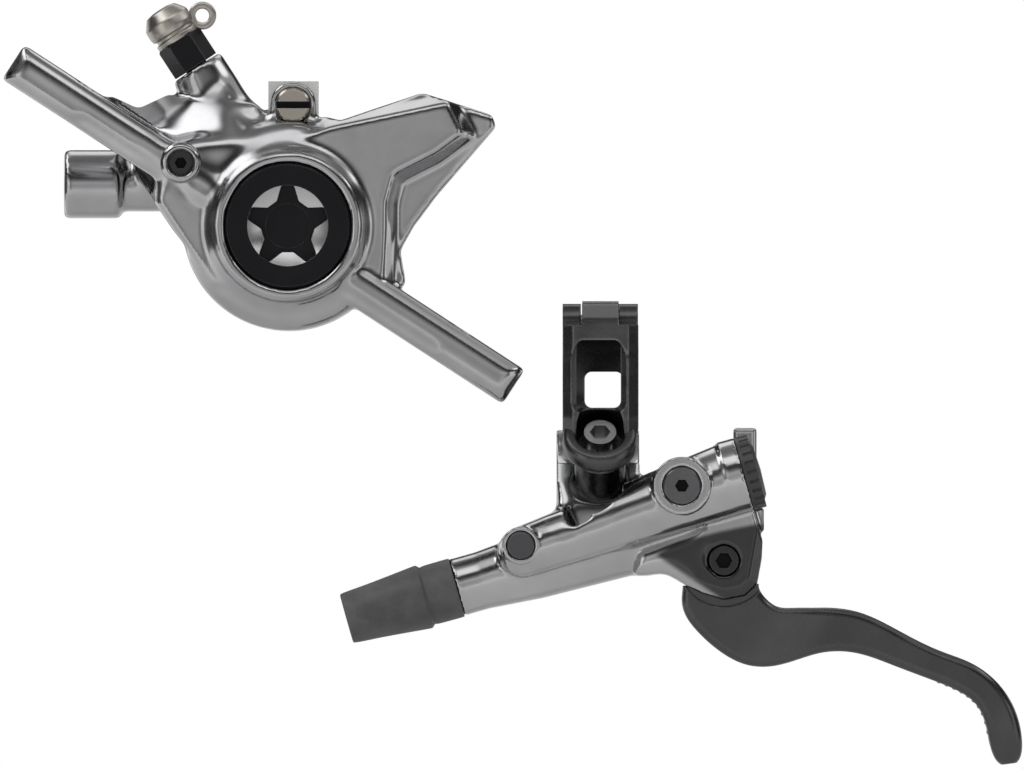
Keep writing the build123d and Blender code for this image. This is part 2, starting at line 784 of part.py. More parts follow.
def plunger_snap_ring():
    at = snap_at
    return ring_on(cylinder, bore_radius - 0.02, plunger_radius + 0.35, at, at + 0.8)


def master_piston():
    front = piston_back - piston_length
    land = bore_radius - running_gap
    body = turned(
        cylinder,
        [
            (0, front),
            (2.0, front),
            (land - 0.6, front + 0.3),
            (land, front + 1.0),
            (land, front + 2.0),
            (land - seal_groove, front + 2.0),
            (land - seal_groove, front + 2.0 + seal_length + 0.2),
            (land, front + 2.0 + seal_length + 0.2),
            (land, front + 5.2),
            (2.2, front + 6.0),
            (2.2, piston_back - 5.0),
            (land, piston_back - 4.2),
            (land, piston_back - 3.2),
            (land - seal_groove, piston_back - 3.2),
            (land - seal_groove, piston_back - 3.0 + seal_length),
            (land, piston_back - 3.0 + seal_length),
            (land, piston_back),
            (0, piston_back),
        ],
    )
    return body


def lip_seal(start):
    """A cup seal: a ring with a flared lip."""
    inner = bore_radius - running_gap - seal_groove + 0.03
    outer = bore_radius - 0.03
    return turned(
        cylinder,
        [
            (inner, start),
            (inner + 0.35, start),
            (outer - 0.3, start + 0.45),
            (outer, start),
            (outer, start + 0.3),
            (outer - 0.25, start + seal_length),
            (inner, start + seal_length),
        ],
    )


def coil(plane, mean_radius, wire, start, end, turns):
    """A helical spring between two distances along a plane's normal."""
    pitch = (end - start - 2 * wire) / turns
    path = Helix(pitch=pitch, height=end - start - 2 * wire, radius=mean_radius)
    section = Plane(origin=path @ 0, z_dir=path % 0) * Circle(wire)
    return plane.offset(start + wire).location * sweep(section, path=path, is_frenet=True)


def master_return_spring():
    return coil(cylinder, spring_coil_radius, spring_wire, spring_seat, piston_back - piston_length - 0.05, spring_turns)


def blade_return_spring():
    """A torsion spring about the blade's far bush, held between blade and cheek."""
    at = Plane(origin=(pivot_x, 0, pivot_z), z_dir=(0, 1, 0))
    return coil(at, torsion_coil_radius, torsion_wire, spring_recess + 0.05, blade_root_half - 0.05, 2)


# Hose fitting
def hose_flange_nut():
    hexed = extrude(cylinder.offset(7.4) * hexagon(7.0), amount=5.0)
    hexed += rod(cylinder, 3.3, 12.4, 14.0)
    return hexed - rod(cylinder, hose_radius + 0.1, 0, 20)


def hose_olive():
    body = turned(cylinder, [(2.0, 12.6), (2.45, 12.6), (2.2, 14.0), (2.0, 14.6)])
    return body


def hose_insert():
    body = turned(
        cylinder,
        [
            (0.7, 9.0),
            (1.3, 9.0),
            (1.3, 14.65),
            (2.3, 14.65),
            (2.3, 14.98),
            (0.7, 14.98),
        ],
    )
    return body


def hose_boot():
    left = (boot_left_x - cylinder_start_x) / axis_dir.X
    right = left + boot_length
    body = turned(
        cylinder,
        [
            (hose_radius + 0.1, left + 0.1),
            (boot_radius_left - 0.9, left),
            (boot_radius_left, left + 0.9),
            (boot_radius_left + 0.2, left + 4.0),
            (boot_radius_peak, left + 12.6),
            (boot_radius_peak, left + 13.6),
            (boot_radius_right - 0.25, left + 14.2),
            (boot_radius_right, left + 14.8),
            (boot_radius_right, right),
            (tube_radius + seat_gap, right),
            (tube_radius + seat_gap, right - 0.6),
            (4.15, right - 0.6),
            (4.15, right - 6.4),
            (hose_radius + 0.1, right - 8.4),
        ],
    )
    return body


# Caliper, in its own frame
def caliper_plate_outline():
    """The near plate: sloping ridge, wing root, scoop edge and lower lobe."""
    return outline_of(
        [
            (-20.8, 11.6),
            (-15.9, 14.1),
            (2.0, 14.6),
            (7.0, 16.4),
            (26.5, 20.5),
            (29.0, 15.5),
            (24.5, 12.2),
            (17.6, 8.7),
            (16.3, 4.0),
            (16.3, -0.5),
            (15.9, -8.5),
            (4.0, -14.0),
            (-12.4, -9.5),
            (-17.5, -2.0),
            (-21.5, 4.0),
        ]
    )


def caliper_core_outline():
    """The whole body's silhouette between the ears, wing included."""
    return outline_of(
        [
            (-31.0, 22.4),
            (-25.0, 19.6),
            (-19.8, 22.0),
            (-15.0, 20.5),
            (-5.2, 20.8),
            (-3.0, 17.0),
            (6.3, 18.2),
            (8.8, 17.6),
            (15.2, 19.8),
            (22.4, 22.2),
            (34.0, 18.5),
            (34.7, 16.6),
            (24.7, 5.0),
            (20.9, -0.1),
            (18.7, -4.1),
            (19.7, -9.9),
            (9.0, -12.0),
            (-12.0, -10.0),
            (-17.2, -3.2),
            (-19.3, -0.5),
            (-22.0, 3.5),
            (-25.0, 8.5),
        ],
        0.7,
    )


def ear_bar():
    """The straight bar with a slotted ear at each end."""
    plane = Plane(origin=ear_middle, x_dir=ear_dir, z_dir=(0, -1, 0))
    face = RectangleRounded(ear_length, ear_bar_thickness, 0.35)
    bar = extrude(plane.offset(-ear_far) * face, amount=ear_far - ear_near)
    near_edges = bar.edges().filter_by(lambda e: abs(e.center().Y - ear_near) < 0.01)
    from_middle = lambda e: abs((e.center() - ear_middle).dot(ear_dir))
    bar = fillet(near_edges.filter_by(lambda e: from_middle(e) > ear_length / 2 - 0.2), ear_end_round)
    # Shallow recessed strips along the lower edge of the near face
    for side in (-1, 1):
        strip = Pos(side * 25.0, -ear_bar_thickness * 0.42) * RectangleRounded(22.0, ear_bar_thickness * 0.5, 1.2)
        bar -= extrude(plane.offset(-ear_near - 1.0) * strip, amount=3)
    for side in (-1, 1):
        at = ear_middle + ear_dir * (side * post_spacing / 2) + Vector(0, (ear_near + ear_far) / 2, 0)
        slot_plane = Plane(origin=at, x_dir=(0, 1, 0), z_dir=ear_up)
        slot = SlotOverall(post_hole_length, post_hole_width)
        bar -= extrude(slot_plane * slot, amount=ear_bar_thickness, both=True)
    return bar


def lobe():
    """The round middle: a closed far dome, a straight wall, a near shoulder, a shallow cove and the rim."""
    shoulder = near_face - 6.0
    wall = [
        Line((0, 0, -far_face), (12.0, 0, -far_face)),
        ThreePointArc((12.0, 0, -far_face), (16.0, 0, -far_face + 1.7), (lobe_radius, 0, -far_face + 5.5)),
        Line((lobe_radius, 0, -far_face + 5.5), (lobe_radius, 0, shoulder)),
        ThreePointArc((lobe_radius, 0, shoulder), (lobe_radius - 0.7, 0, shoulder + 1.7), (cone_radius, 0, shoulder + 2.6)),
        ThreePointArc((cone_radius, 0, shoulder + 2.6), (13.5, 0, shoulder + 3.5), (rim_radius, 0, near_face - 0.8)),
        ThreePointArc((rim_radius, 0, near_face - 0.8), (rim_radius - 0.25, 0, near_face - 0.2), (rim_radius - 0.8, 0, near_face)),
        Line((rim_radius - 0.8, 0, near_face), (0, 0, near_face)),
        Line((0, 0, near_face), (0, 0, -far_face)),
    ]
    toward_viewer = Plane(origin=(0, 0, 0), x_dir=(1, 0, 0), z_dir=(0, -1, 0))
    return toward_viewer.location * revolve(make_face(Wire(wall)), Axis.Z, 360)


def near_plate():
    """The near plate, whose sides slope out to the core and stop at its silhouette."""
    spread = (plate_face - core_face) * tan(radians(plate_draft))
    base = offset(caliper_plate_outline(), spread, kind=Kind.INTERSECTION)
    plate = extrude(Plane.XZ.offset(core_face) * base, amount=plate_face - core_face, taper=plate_draft)
    return plate & slab(caliper_core_outline() + Circle(lobe_radius - 0.2), -near_face, 0)


def nipple_flare():
    """The sweep from the nipple boss into the body."""
    start = -nipple_boss_length + 13.0
    profile = [
        Line((0, 0, start), (nipple_boss_radius, 0, start)),
        ThreePointArc(
            (nipple_boss_radius, 0, start),
            (nipple_boss_radius + 0.9, 0, start - 5.5),
            (nipple_boss_radius + 3.3, 0, start - 10.0),
        ),
        Line((nipple_boss_radius + 3.3, 0, start - 10.0), (0, 0, start - 10.0)),
        Line((0, 0, start - 10.0), (0, 0, start)),
    ]
    return nipple.location * revolve(make_face(Wire(profile)), Axis.Z, 360)


def caliper_body():
    body = lobe()
    body += slab(caliper_core_outline(), -core_face, far_draft_start)
    drafted = Plane.XZ.offset(-far_draft_start) * caliper_core_outline()
    body += extrude(drafted, amount=far_draft_start - axle_far, taper=far_draft)
    body += near_plate()
    body += ear_bar()
    body += rod(nipple, nipple_boss_radius, -nipple_boss_length, 0)
    body += nipple_flare()
    body += disc(axle_x, axle_z, axle_boss_radius, -plate_face + 3.5, -pocket_half_depth)
    body += slab(Pos(axle_x, axle_z - 3.0) * Rectangle(2 * axle_boss_radius, 6.0), -plate_face + 3.5, -pocket_half_depth)
    body += disc(axle_x, axle_z, axle_boss_radius, pocket_half_depth, axle_far)
    body += disc(grub_x, grub_z, grub_boss_radius, -plate_face - 0.35, 0)
    port = Plane(origin=(hose_port_x, hose_port_y, hose_port_z), x_dir=(0, 1, 0), z_dir=(1, 0, 0))
    body += rod(port, hose_port_radius, 0, hose_port_length)
    body += rod(port, hose_neck_radius, hose_port_length, 22.0)
    # Pocket for the pads, open at the top, and the slot for the disc
    pocket = Pos(0, 20.0 - pocket_floor / 2) * Rectangle(2 * pocket_half_width, 40.0 + pocket_floor)
    body -= slab(pocket, -pocket_half_depth, pocket_half_depth)
    hub = Vector(0, 0, 0) - ear_up * disc_reach
    body -= disc(hub.X, hub.Z, disc_radius, -disc_slot_half, disc_slot_half)
    # Piston bores, the cap's mouth and the passages
    body -= disc(0, 0, caliper_piston_radius + running_gap, -near_face - 1, far_face - 3.0)
    body -= disc(0, 0, cap_radius + running_gap, -near_face - 1, -near_face + 4.0)
    for side in (-1, 1):
        near, far = sorted((side * 8.0, side * 10.3))
        groove = disc(0, 0, caliper_piston_radius + 1.6, near, far)
        body -= groove
    body -= rod(nipple, 2.0, -10.0, 1)
    body -= rod(nipple, 0.8, -nipple_boss_length - 3.0, -9.0)
    body -= disc(axle_x, axle_z, axle_shank_radius + running_gap, -near_face, axle_far + 1)
    body -= disc(axle_x, axle_z, axle_head_radius + running_gap, -20, -plate_face + 5.0)
    body -= disc(grub_x, grub_z, grub_radius + seat_gap, -plate_face - 2, -plate_face + 5.0)
    body -= rod(port, hose_thread_radius, -1, hose_thread_depth)
    chamber = far_face - 3.8
    body -= rod(port, passage_radius, hose_thread_depth - 1, passage_x - hose_port_x)
    body -= disc(passage_x, hose_port_z, passage_radius, hose_port_y - passage_radius, chamber + 0.6)
    into_bore = Plane(origin=(passage_x, chamber, hose_port_z), x_dir=(0, 1, 0), z_dir=(1, 0, 0))
    body -= rod(into_bore, 0.7, 0, 8.0)
    return body.solids().sort_by(SortBy.VOLUME)[-1]


def bore_cap():
    """Screwed cap with a five-lobed recess whose flanks are sloping flutes."""
    face = -near_face + 0.35
    cap = disc(0, 0, cap_radius, face, -near_face + 5.2 - 1.3)
    cap = chamfer(cap.faces().sort_by(Axis.Y)[0].edges(), 0.35)
    cap += disc(0, 0, cap_radius - 1.0, -near_face + 3.9, -near_face + 6.2)
    # A dished mouth, cut through by the star: its slopes are left between the arms
    dish_rise = (star_radius**2 - star_floor_radius**2 - star_dish**2) / (2 * star_dish)
    dish_radius = sqrt(star_radius**2 + dish_rise**2)
    cap -= Pos(0, face - dish_rise, 0) * Sphere(dish_radius)
    cap -= slab(star_outline(), face - 1, face + star_depth)
    return cap - disc(0, 0, star_floor_radius, face - 1, face + star_depth + 0.5)


def star_outline():
    """Five round-ended arms, the first upright, joined by hollow flanks."""
    points = []
    for i in range(5):
        tip = 90 + 72 * i
        for turn, reach in ((-9, star_radius), (9, star_radius), (24, 4.5), (48, 4.5)):
            at = radians(tip + turn)
            points.append((reach * cos(at), reach * sin(at)))
    return outline_of(points, 0.45)


def bore_cap_seal():
    at = -near_face + 3.95
    return disc(0, 0, cap_radius - 0.05 - 0.5, at, at + 0.9) - disc(0, 0, cap_radius - 0.98, at - 1, at + 2)


def caliper_piston(side):
    """A hollow cup that opens toward its pad."""
    face = pad_gap + lining_thickness + plate_thickness + seat_gap
    back = far_face - 3.6 if side > 0 else near_face - 6.6
    near, far = sorted((side * face, side * back))
    cup = disc(0, 0, caliper_piston_radius - running_gap, near, far)
    hollow_near, hollow_far = sorted((side * (face - 1), side * (back - 3.0)))
    return cup - disc(0, 0, caliper_piston_radius - 2.2, hollow_near, hollow_far)


def caliper_piston_seal(side):
    near, far = sorted((side * 8.1, side * 10.2))
    ring = disc(0, 0, caliper_piston_radius + 1.55, near, far)
    return ring - disc(0, 0, caliper_piston_radius + 0.01, near - 1, far + 1)


def pad_outline(inset=0.0):
    """A pad: round-cornered block with a hollowed top edge."""
    half = pad_half_width - inset
    return outline_of(
        [
            (-half, pad_bottom + inset + 2.5),
            (-half + 3.0, pad_bottom + inset),
            (half - 3.0, pad_bottom + inset),
            (half, pad_bottom + inset + 2.5),
            (half, pad_top - inset),
            (-half, pad_top - inset),
        ],
        0.6,
    )


def pad_plate(side):
    tab = outline_of(
        [
            (tab_left - 2.0, pad_top - 1.0),
            (tab_right + 2.0, pad_top - 1.0),
            (tab_right, pad_top + 3.0),
            (tab_right, tab_top),
            (tab_left, tab_top),
            (tab_left, pad_top + 3.0),
        ]
    )
    start = pad_gap + lining_thickness
    near, far = sorted((side * start, side * (start + plate_thickness)))
    plate = slab(pad_outline() + tab, near, far)
    return plate - disc(axle_x, axle_z, axle_shank_radius + 0.25, near - 1, far + 1)


def pad_lining(side):
    near, far = sorted((side * pad_gap, side * (pad_gap + lining_thickness)))
    return slab(pad_outline(lining_inset), near, far)


def pad_spring():
    """A folded sheet spring: a bridge over the disc's edge and a leaf behind each lining's top."""
    leaf = 0.3
    top = pad_top + 5.2
    half = pad_gap + lining_thickness - 0.45
    bridge = slab(Pos(axle_x, top) * Rectangle(6.6, leaf), -half, half)
    for side in (-1, 1):
        near, far = sorted((side * half, side * (half - leaf)))
        bridge += slab(Pos(axle_x, (top + pad_top) / 2 + 0.2) * Rectangle(6.6, top - pad_top - 0.4 + leaf), near, far)
    return bridge


def pad_axle():
    head_back = -plate_face + 4.9
    body = disc(axle_x, axle_z, axle_shank_radius, head_back, axle_far + 1.2)
    head = disc(axle_x, axle_z, axle_head_radius, -plate_face + 3.0, head_back)
    head = chamfer(head.faces().sort_by(Axis.Y)[0].edges(), 0.35)
    body += head
    body -= slab(Pos(axle_x, axle_z) * Rectangle(8, axle_slot), -plate_face + 2.0, -plate_face + 4.3)
    groove = disc(axle_x, axle_z, 3, axle_far + 0.1, axle_far + 0.7)
    groove -= disc(axle_x, axle_z, axle_shank_radius - 0.4, axle_far, axle_far + 1)
    return body - groove


def pad_axle_clip():
    ring = disc(axle_x, axle_z, 2.5, axle_far + 0.15, axle_far + 0.65)
    ring -= disc(axle_x, axle_z, axle_shank_radius - 0.35, axle_far, axle_far + 1)
    return ring - slab(Pos(axle_x, axle_z + 3.0) * Rectangle(2.0, 6.0), axle_far, axle_far + 1)


def port_grub_screw():
    face = -plate_face + 0.4
    body = disc(grub_x, grub_z, grub_radius, face, face + 4.0)
    return body - slab(Pos(grub_x, grub_z) * hexagon(1.8), face - 1, face + 1.8)


def bleed_nipple():
    hexed = extrude(nipple.offset(0.25) * (Rotation(0, 0, 30) * hexagon(nipple_hex_flats)), amount=nipple_hex_height)
    crown = turned(nipple, [(0, -1), (3.6, -1), (4.2, 0.9), (4.2, 5.0), (3.5, 5.9), (0, 5.9)])
    body = hexed & crown
    body += rod(nipple, 2.0 - running_gap, -9.0, 0.3)
    body += turned(
        nipple,
        [(0, 5.0), (nipple_tail_radius + 0.5, 5.0), (nipple_tail_radius + 0.5, 6.6), (1.9, 7.2), (1.9, 8.2), (2.3, 8.8), (1.6, 10.4), (0, 10.4)],
    )
    return body - rod(nipple, 0.7, -6.0, 12)


def nipple_cap():
    """Cap over the nipple's tail, with the tether ring at its side, moulded in one."""
    shell = turned(
        nipple,
        [
            (3.25, 5.95),
            (3.75, 5.95),
            (3.8, 6.6),
            (3.45, 6.9),
            (3.45, 7.2),
            (3.85, 7.5),
            (3.95, 8.6),
            (3.95, 10.2),
            (3.5, 11.4),
            (2.4, 12.2),
            (0, 12.5),
            (0, 10.6),
            (2.6, 10.6),
            (2.6, 7.2),
            (3.25, 6.7),
        ],
    )
    middle = Vector(nipple_boss_x + 0.47, nipple_y, nipple_boss_z + 8.5)
    ring_plane = Plane(origin=middle, x_dir=(1, 0, 0), z_dir=(0, -1, 0))
    loop = extrude(ring_plane * (Circle(2.25) - Circle(1.15)), amount=0.7, both=True)
    strap_start = nipple_top + nipple_dir * 6.5 + nipple_side * 3.6
    reach = middle - strap_start
    strap_plane = Plane(origin=(strap_start + middle) * 0.5, x_dir=reach, z_dir=(0, -1, 0))
    strap = extrude(strap_plane * Rectangle(reach.length, 2.0), amount=0.7, both=True)
    strap -= rod(ring_plane, 1.5, -2, 2)
    tether = strap + loop
    tether -= rod(nipple, 4.9, -1, 5.95)
    tether -= rod(nipple, 3.6, 5, 11)
    return (shell + tether).solids().sort_by(SortBy.VOLUME)[-1]


CLAMP_PIECES = {
    "lever_body": lever_body,
    "clamp_front_half": clamp_front_half,
    "clamp_rear_half": clamp_rear_half,
    "clamp_hinge_pin": clamp_hinge_pin,
    "clamp_bolt": clamp_bolt,
}

LEVER_PIECES = {
    "reservoir_cap": reservoir_cap,
    "reservoir_diaphragm": reservoir_diaphragm,
    "bleed_screw": bleed_screw,
    "bleed_screw_oring": bleed_screw_oring,
    "side_plug": side_plug,
    "lever_blade": lever_blade,
    "cam_roller": cam_roller,
    "cam_roller_pin": cam_roller_pin,
    "blade_pivot_bolt": blade_pivot_bolt,
    "blade_return_spring": blade_return_spring,
    "push_plunger": push_plunger,
    "plunger_snap_ring": plunger_snap_ring,
    "master_piston": master_piston,
    "master_return_spring": master_return_spring,
    "hose_flange_nut": hose_flange_nut,
    "hose_olive": hose_olive,
    "hose_insert": hose_insert,
    "hose_boot": hose_boot,
}

CALIPER_PIECES = {
    "caliper_body": caliper_body,
    "bore_cap": bore_cap,
    "bore_cap_seal": bore_cap_seal,
    "pad_spring": pad_spring,
    "pad_axle": pad_axle,
    "pad_axle_clip": pad_axle_clip,
    "port_grub_screw": port_grub_screw,
    "bleed_nipple": bleed_nipple,
    "nipple_cap": nipple_cap,
}

SIDES = {"near": -1, "far": 1}

os.makedirs("parts", exist_ok=True)
for name, make in CLAMP_PIECES.items():
    export_step(make(), f"parts/{name}.step")
for name, make in LEVER_PIECES.items():
    export_step(lever_place * make(), f"parts/{name}.step")
for name, make in CALIPER_PIECES.items():
    export_step(caliper_place * make(), f"parts/{name}.step")
for name, side in SIDES.items():
    export_step(lever_place * blade_bush(side), f"parts/blade_bush_{name}.step")
    export_step(caliper_place * caliper_piston(side), f"parts/piston_{name}.step")
    export_step(caliper_place * caliper_piston_seal(side), f"parts/piston_seal_{name}.step")
    export_step(caliper_place * pad_plate(side), f"parts/pad_plate_{name}.step")
    export_step(caliper_place * pad_lining(side), f"parts/pad_lining_{name}.step")
export_step(lever_place * lip_seal(piston_back - piston_length + 2.1), "parts/master_primary_seal.step")
export_step(lever_place * lip_seal(piston_back - 3.1), "parts/master_secondary_seal.step")
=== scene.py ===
"""Dresses a packed bicycle disc brake: forged skins, metal and rubber finishes, and a plain white studio."""
from math import pi, radians

import bmesh
import bpy
import numpy as np
from bpy.props import FloatProperty, FloatVectorProperty, IntProperty, PointerProperty
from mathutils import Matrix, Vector
from mathutils.bvhtree import BVHTree


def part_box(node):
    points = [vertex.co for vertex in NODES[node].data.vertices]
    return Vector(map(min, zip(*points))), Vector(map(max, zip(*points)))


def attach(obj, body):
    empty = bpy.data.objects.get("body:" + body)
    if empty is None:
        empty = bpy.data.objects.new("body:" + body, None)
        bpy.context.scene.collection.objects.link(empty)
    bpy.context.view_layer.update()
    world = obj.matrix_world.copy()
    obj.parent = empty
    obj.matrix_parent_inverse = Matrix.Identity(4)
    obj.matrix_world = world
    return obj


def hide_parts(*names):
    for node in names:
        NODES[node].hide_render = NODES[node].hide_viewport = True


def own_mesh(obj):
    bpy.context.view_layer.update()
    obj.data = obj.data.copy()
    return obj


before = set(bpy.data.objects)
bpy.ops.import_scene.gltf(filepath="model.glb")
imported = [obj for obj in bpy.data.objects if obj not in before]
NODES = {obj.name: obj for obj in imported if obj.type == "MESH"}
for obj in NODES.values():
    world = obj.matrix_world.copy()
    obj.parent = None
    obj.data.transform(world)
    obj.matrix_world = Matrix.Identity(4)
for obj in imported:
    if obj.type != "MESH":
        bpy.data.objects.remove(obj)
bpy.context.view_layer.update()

bl_info = {
    "name": "Bicycle Disc Brake Dresser",
    "version": (1, 0, 0),
    "blender": (4, 5, 0),
    "location": "View3D > Sidebar > Disc Brake",
    "description": "Skins, finishes and studio for a lever and caliper",
    "category": "Object",
}

MM = 0.001

# Places and directions on the brake, in metres
CALIPER_CENTRE = (-0.052, 0.004, 0.0265)
HOSE_PORT = (-0.0896, 0.0122, 0.0336)
NIPPLE_TOP = (-0.0673, -0.0005, 0.053)
NIPPLE_LINE = (-0.544639, 0.0, 0.838671)
NIPPLE_SIDE = (0.838671, 0.0, 0.544639)
CLAMP_BOLT = (0.0, -0.010571, -0.011336)
CLAMP_BOLT_LINE = (0.0, 0.731354, -0.681998)
HOSE_END = (-0.036, -0.0035, -0.03721)
CYLINDER_LINE = (0.962455, 0.0, 0.27144)
SPRING_SPAN = (0.02202, 0.03315)

# Nipple boss, and how its sweep grows in front of it along the nipple's line, in millimetres
BOSS_RADIUS = 4.67
FLARE_START, FLARE_LENGTH, FLARE_RISE = 3.5, 11.5, 7.9

# How far the edges of a metal are lightened, as a painted highlight
EDGE_PAINTED_HIGHLIGHT = 0.35

# Share of each relaxing step that is taken back, so that the skin rounds without shrinking
PUSH_BACK = 0.52

# Pitch of the wave texture's rings at a scale of 1
WAVE_RINGS = 0.314

# Colours of the small fixed finishes: the painted shade in sunk sockets and slots, and the black of seals
SOCKET_PAINTED_SHADE = (0.012, 0.012, 0.012)
SEAL_BLACK = (0.03, 0.03, 0.03)

# Brightness of the reflector by height and from left to right, as (share of the radius, level)
UPRIGHT_CARDS = (
    (-1.0, 0.1),
    (-0.9, 0.2),
    (-0.8, 1.1),
    (-0.62, 0.8),
    (-0.5, 0.05),
    (-0.3, 0.06),
    (-0.17, 0.62),
    (0.0, 0.52),
    (0.16, 0.7),
    (0.3, 0.24),
    (0.4, 0.04),
    (0.56, 0.06),
    (0.66, 1.3),
    (0.84, 1.3),
    (0.92, 0.3),
    (1.0, 0.2),
)
SIDEWAYS_CARDS = (
    (-1.0, 0.15),
    (-0.88, 0.4),
    (-0.78, 2.0),
    (-0.58, 1.9),
    (-0.46, 0.5),
    (-0.25, 1.15),
    (0.0, 0.9),
    (0.2, 1.2),
    (0.4, 0.5),
    (0.58, 0.45),
    (0.68, 1.9),
    (0.82, 1.9),
    (0.9, 0.4),
    (1.0, 0.15),
)


def colour_setting(label, note, value):
    """A colour that the sidebar shows with a colour field."""
    return FloatVectorProperty(
        name=label, description=note, subtype="COLOR", size=3, min=0.0, max=1.0, default=value
    )


def share_setting(label, note, value):
    """A roughness between that of a mirror and that of chalk."""
    return FloatProperty(name=label, description=note, min=0.02, max=1.0, default=value)


def count_setting(label, note, value):
    """A number of times."""
    return IntProperty(name=label, description=note, min=0, default=value)


def power_setting(label, note, value):
    """A lamp's strength in watts."""
    return FloatProperty(name=label, description=note, min=0.0, default=value)


def length_setting(label, note, value):
    """A length in metres, which the sidebar shows in the scene's units."""
    return FloatProperty(name=label, description=note, subtype="DISTANCE", unit="LENGTH", default=value)


class BrakeFinishSettings(bpy.types.PropertyGroup):
    """Colours and roughness of the metals and rubbers."""

    caliper_grey: colour_setting("Caliper Grey", "Polished caliper forging", (0.4, 0.4, 0.407))
    lever_silver: colour_setting("Lever Silver", "Polished lever body forging", (0.46, 0.46, 0.465))
    cheek_painted_shade: colour_setting("Cheek Painted Shade", "Shaded cheeks of the lever body", (0.072, 0.072, 0.074))
    satin_dark: colour_setting("Dark Satin", "Anodised clamp band and blade", (0.09, 0.09, 0.093))
    black_alloy: colour_setting("Black Alloy", "Bore cap, nipple and screws", (0.022, 0.022, 0.024))
    bare_steel: colour_setting("Bare Steel", "Turned steel pins", (0.5, 0.49, 0.47))
    warm_steel: colour_setting("Warm Steel", "Pad axle screw", (0.42, 0.39, 0.34))
    rubber_black: colour_setting("Rubber Black", "Hose boot and seals", (0.06, 0.06, 0.062))
    forging_roughness: share_setting("Forging Roughness", "Microsurface of the polished forgings", 0.17)
    satin_roughness: share_setting("Satin Roughness", "Microsurface of the anodised pieces", 0.27)


class BrakeSkinSettings(bpy.types.PropertyGroup):
    """How finely the forged skins are gridded and how far their edges are relaxed."""

    caliper_grid: length_setting("Caliper Grid", "Cell of the caliper skin", 0.46 * MM)
    lever_grid: length_setting("Lever Grid", "Cell of the lever body skin", 0.31 * MM)
    round_steps: count_setting("Round Steps", "Times that the caliper is rounded", 5)
    relax_steps: count_setting("Relax Steps", "Times that the skins are relaxed", 14)
    soften_steps: count_setting("Soften Steps", "More times where two forms melt together", 26)


class BrakeStudioSettings(bpy.types.PropertyGroup):
    """Camera framing and studio light."""

    frame_width: length_setting("Frame Width", "Width of the camera frame at the brake", 0.170667)
    frame_x: length_setting("Frame Centre X", "Frame centre along the handlebar", -0.014667)
    frame_z: length_setting("Frame Centre Z", "Frame centre in height", 0.00008)
    focus_y: length_setting("Scale Plane", "Depth at which the frame width holds", -0.008)
    lens: FloatProperty(name="Lens", description="Focal length in millimetres", default=1000.0)
    floor_z: length_setting("Floor", "Height of the floor", -0.085)
    dome_radius: length_setting("Dome Radius", "Radius of the floor and of the reflector dome", 0.42)
    key_power: power_setting("Key Power", "Watts of the upper softbox", 2.2)
    fill_power: power_setting("Fill Power", "Watts of the lower fill", 1.0)


# Mesh helpers


def new_mesh(name, points, faces):
    """A mesh from points and four-cornered faces, where a corner given twice leaves a triangle."""
    mesh = bpy.data.meshes.new(name)
    cells = [list(dict.fromkeys(face)) for face in np.asarray(faces).tolist()]
    mesh.from_pydata(np.asarray(points).tolist(), [], cells)
    return mesh


def placed(name, mesh):
    """An object at the origin with that mesh, in the scene."""
    piece = bpy.data.objects.new(name, mesh)
    bpy.context.scene.collection.objects.link(piece)
    return piece


def smooth_piece(name, points, faces, material):
    """A smooth object at the origin with one material."""
    mesh = new_mesh(name, points, faces)
    mesh.validate()
    mesh.shade_smooth()
    mesh.materials.append(material)
    return placed(name, mesh)


def mesh_piece(name, points, faces, material, body, slot):
    """A smooth object that rides on one body."""
    piece = smooth_piece(name, points, faces, material)
    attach(piece, body)
    return piece


def grid_faces(rows, columns, wrap_rows=False, wrap_columns=False):
    """Quads between the points of a grid: corner (i, j) is point i * columns + j."""
    i = np.arange(rows if wrap_rows else rows - 1)[:, None]
    j = np.arange(columns if wrap_columns else columns - 1)[None, :]
    start, down, over = i * columns, (i + 1) % rows * columns, (j + 1) % columns
    return np.stack([start + j, start + over, down + over, down + j], axis=-1).reshape(-1, 4)


def disc_faces(rings, turns):
    """Faces of a disc: its points are rings of turns points, from the inside out, and then its middle."""
    ring = np.arange(turns)
    after = (ring + 1) % turns
    fan = np.stack([np.full(turns, rings * turns), ring, after, after], axis=-1)
    return np.vstack([grid_faces(rings, turns, wrap_columns=True)[:, ::-1], fan])


def outward(points, faces):
    """The same faces, turned over where their signed volume, the sum of a.(b x c) / 6, is below 0."""
    a, b, c, d = (points[faces[:, k]] for k in range(4))
    volume = np.einsum("ij,ij->", a, np.cross(b, c)) + np.einsum("ij,ij->", a, np.cross(c, d))
    return faces if volume > 0 else faces[:, ::-1]


def capped(points, columns, ends):
    """A tube of rings of points, closed at its first and last ring by fans round two end points."""
    ring = np.arange(columns)
    after = (ring + 1) % columns
    count = len(points)
    last = count - columns
    low = np.stack([np.full(columns, count), after, ring, ring], axis=-1)
    high = np.stack([np.full(columns, count + 1), last + ring, last + after, last + after], axis=-1)
    points = np.vstack([points, ends])
    faces = np.vstack([grid_faces(count // columns, columns, wrap_columns=True), low, high])
    return points, outward(points, faces)


def across(direction):
    """A direction's unit vector, and two more that are square to it and to each other."""
    along = np.asarray(direction, float) / np.linalg.norm(direction)
    spare = np.array([0.0, 1.0, 0.0]) if abs(along[1]) < 0.9 else np.array([1.0, 0.0, 0.0])
    first = np.cross(along, spare)
    first /= np.linalg.norm(first)
    return along, first, np.cross(along, first)


def joined(*shapes):
    """Several (points, faces) put into one pair."""
    start = np.cumsum([0] + [len(points) for points, _ in shapes])
    faces = np.vstack([np.asarray(cells) + first for (_, cells), first in zip(shapes, start)])
    return np.vstack([points for points, _ in shapes]), faces


def powered(wave, power):
    """A sine or cosine raised to a power, with its sign kept."""
    return np.sign(wave) * np.abs(wave) ** power


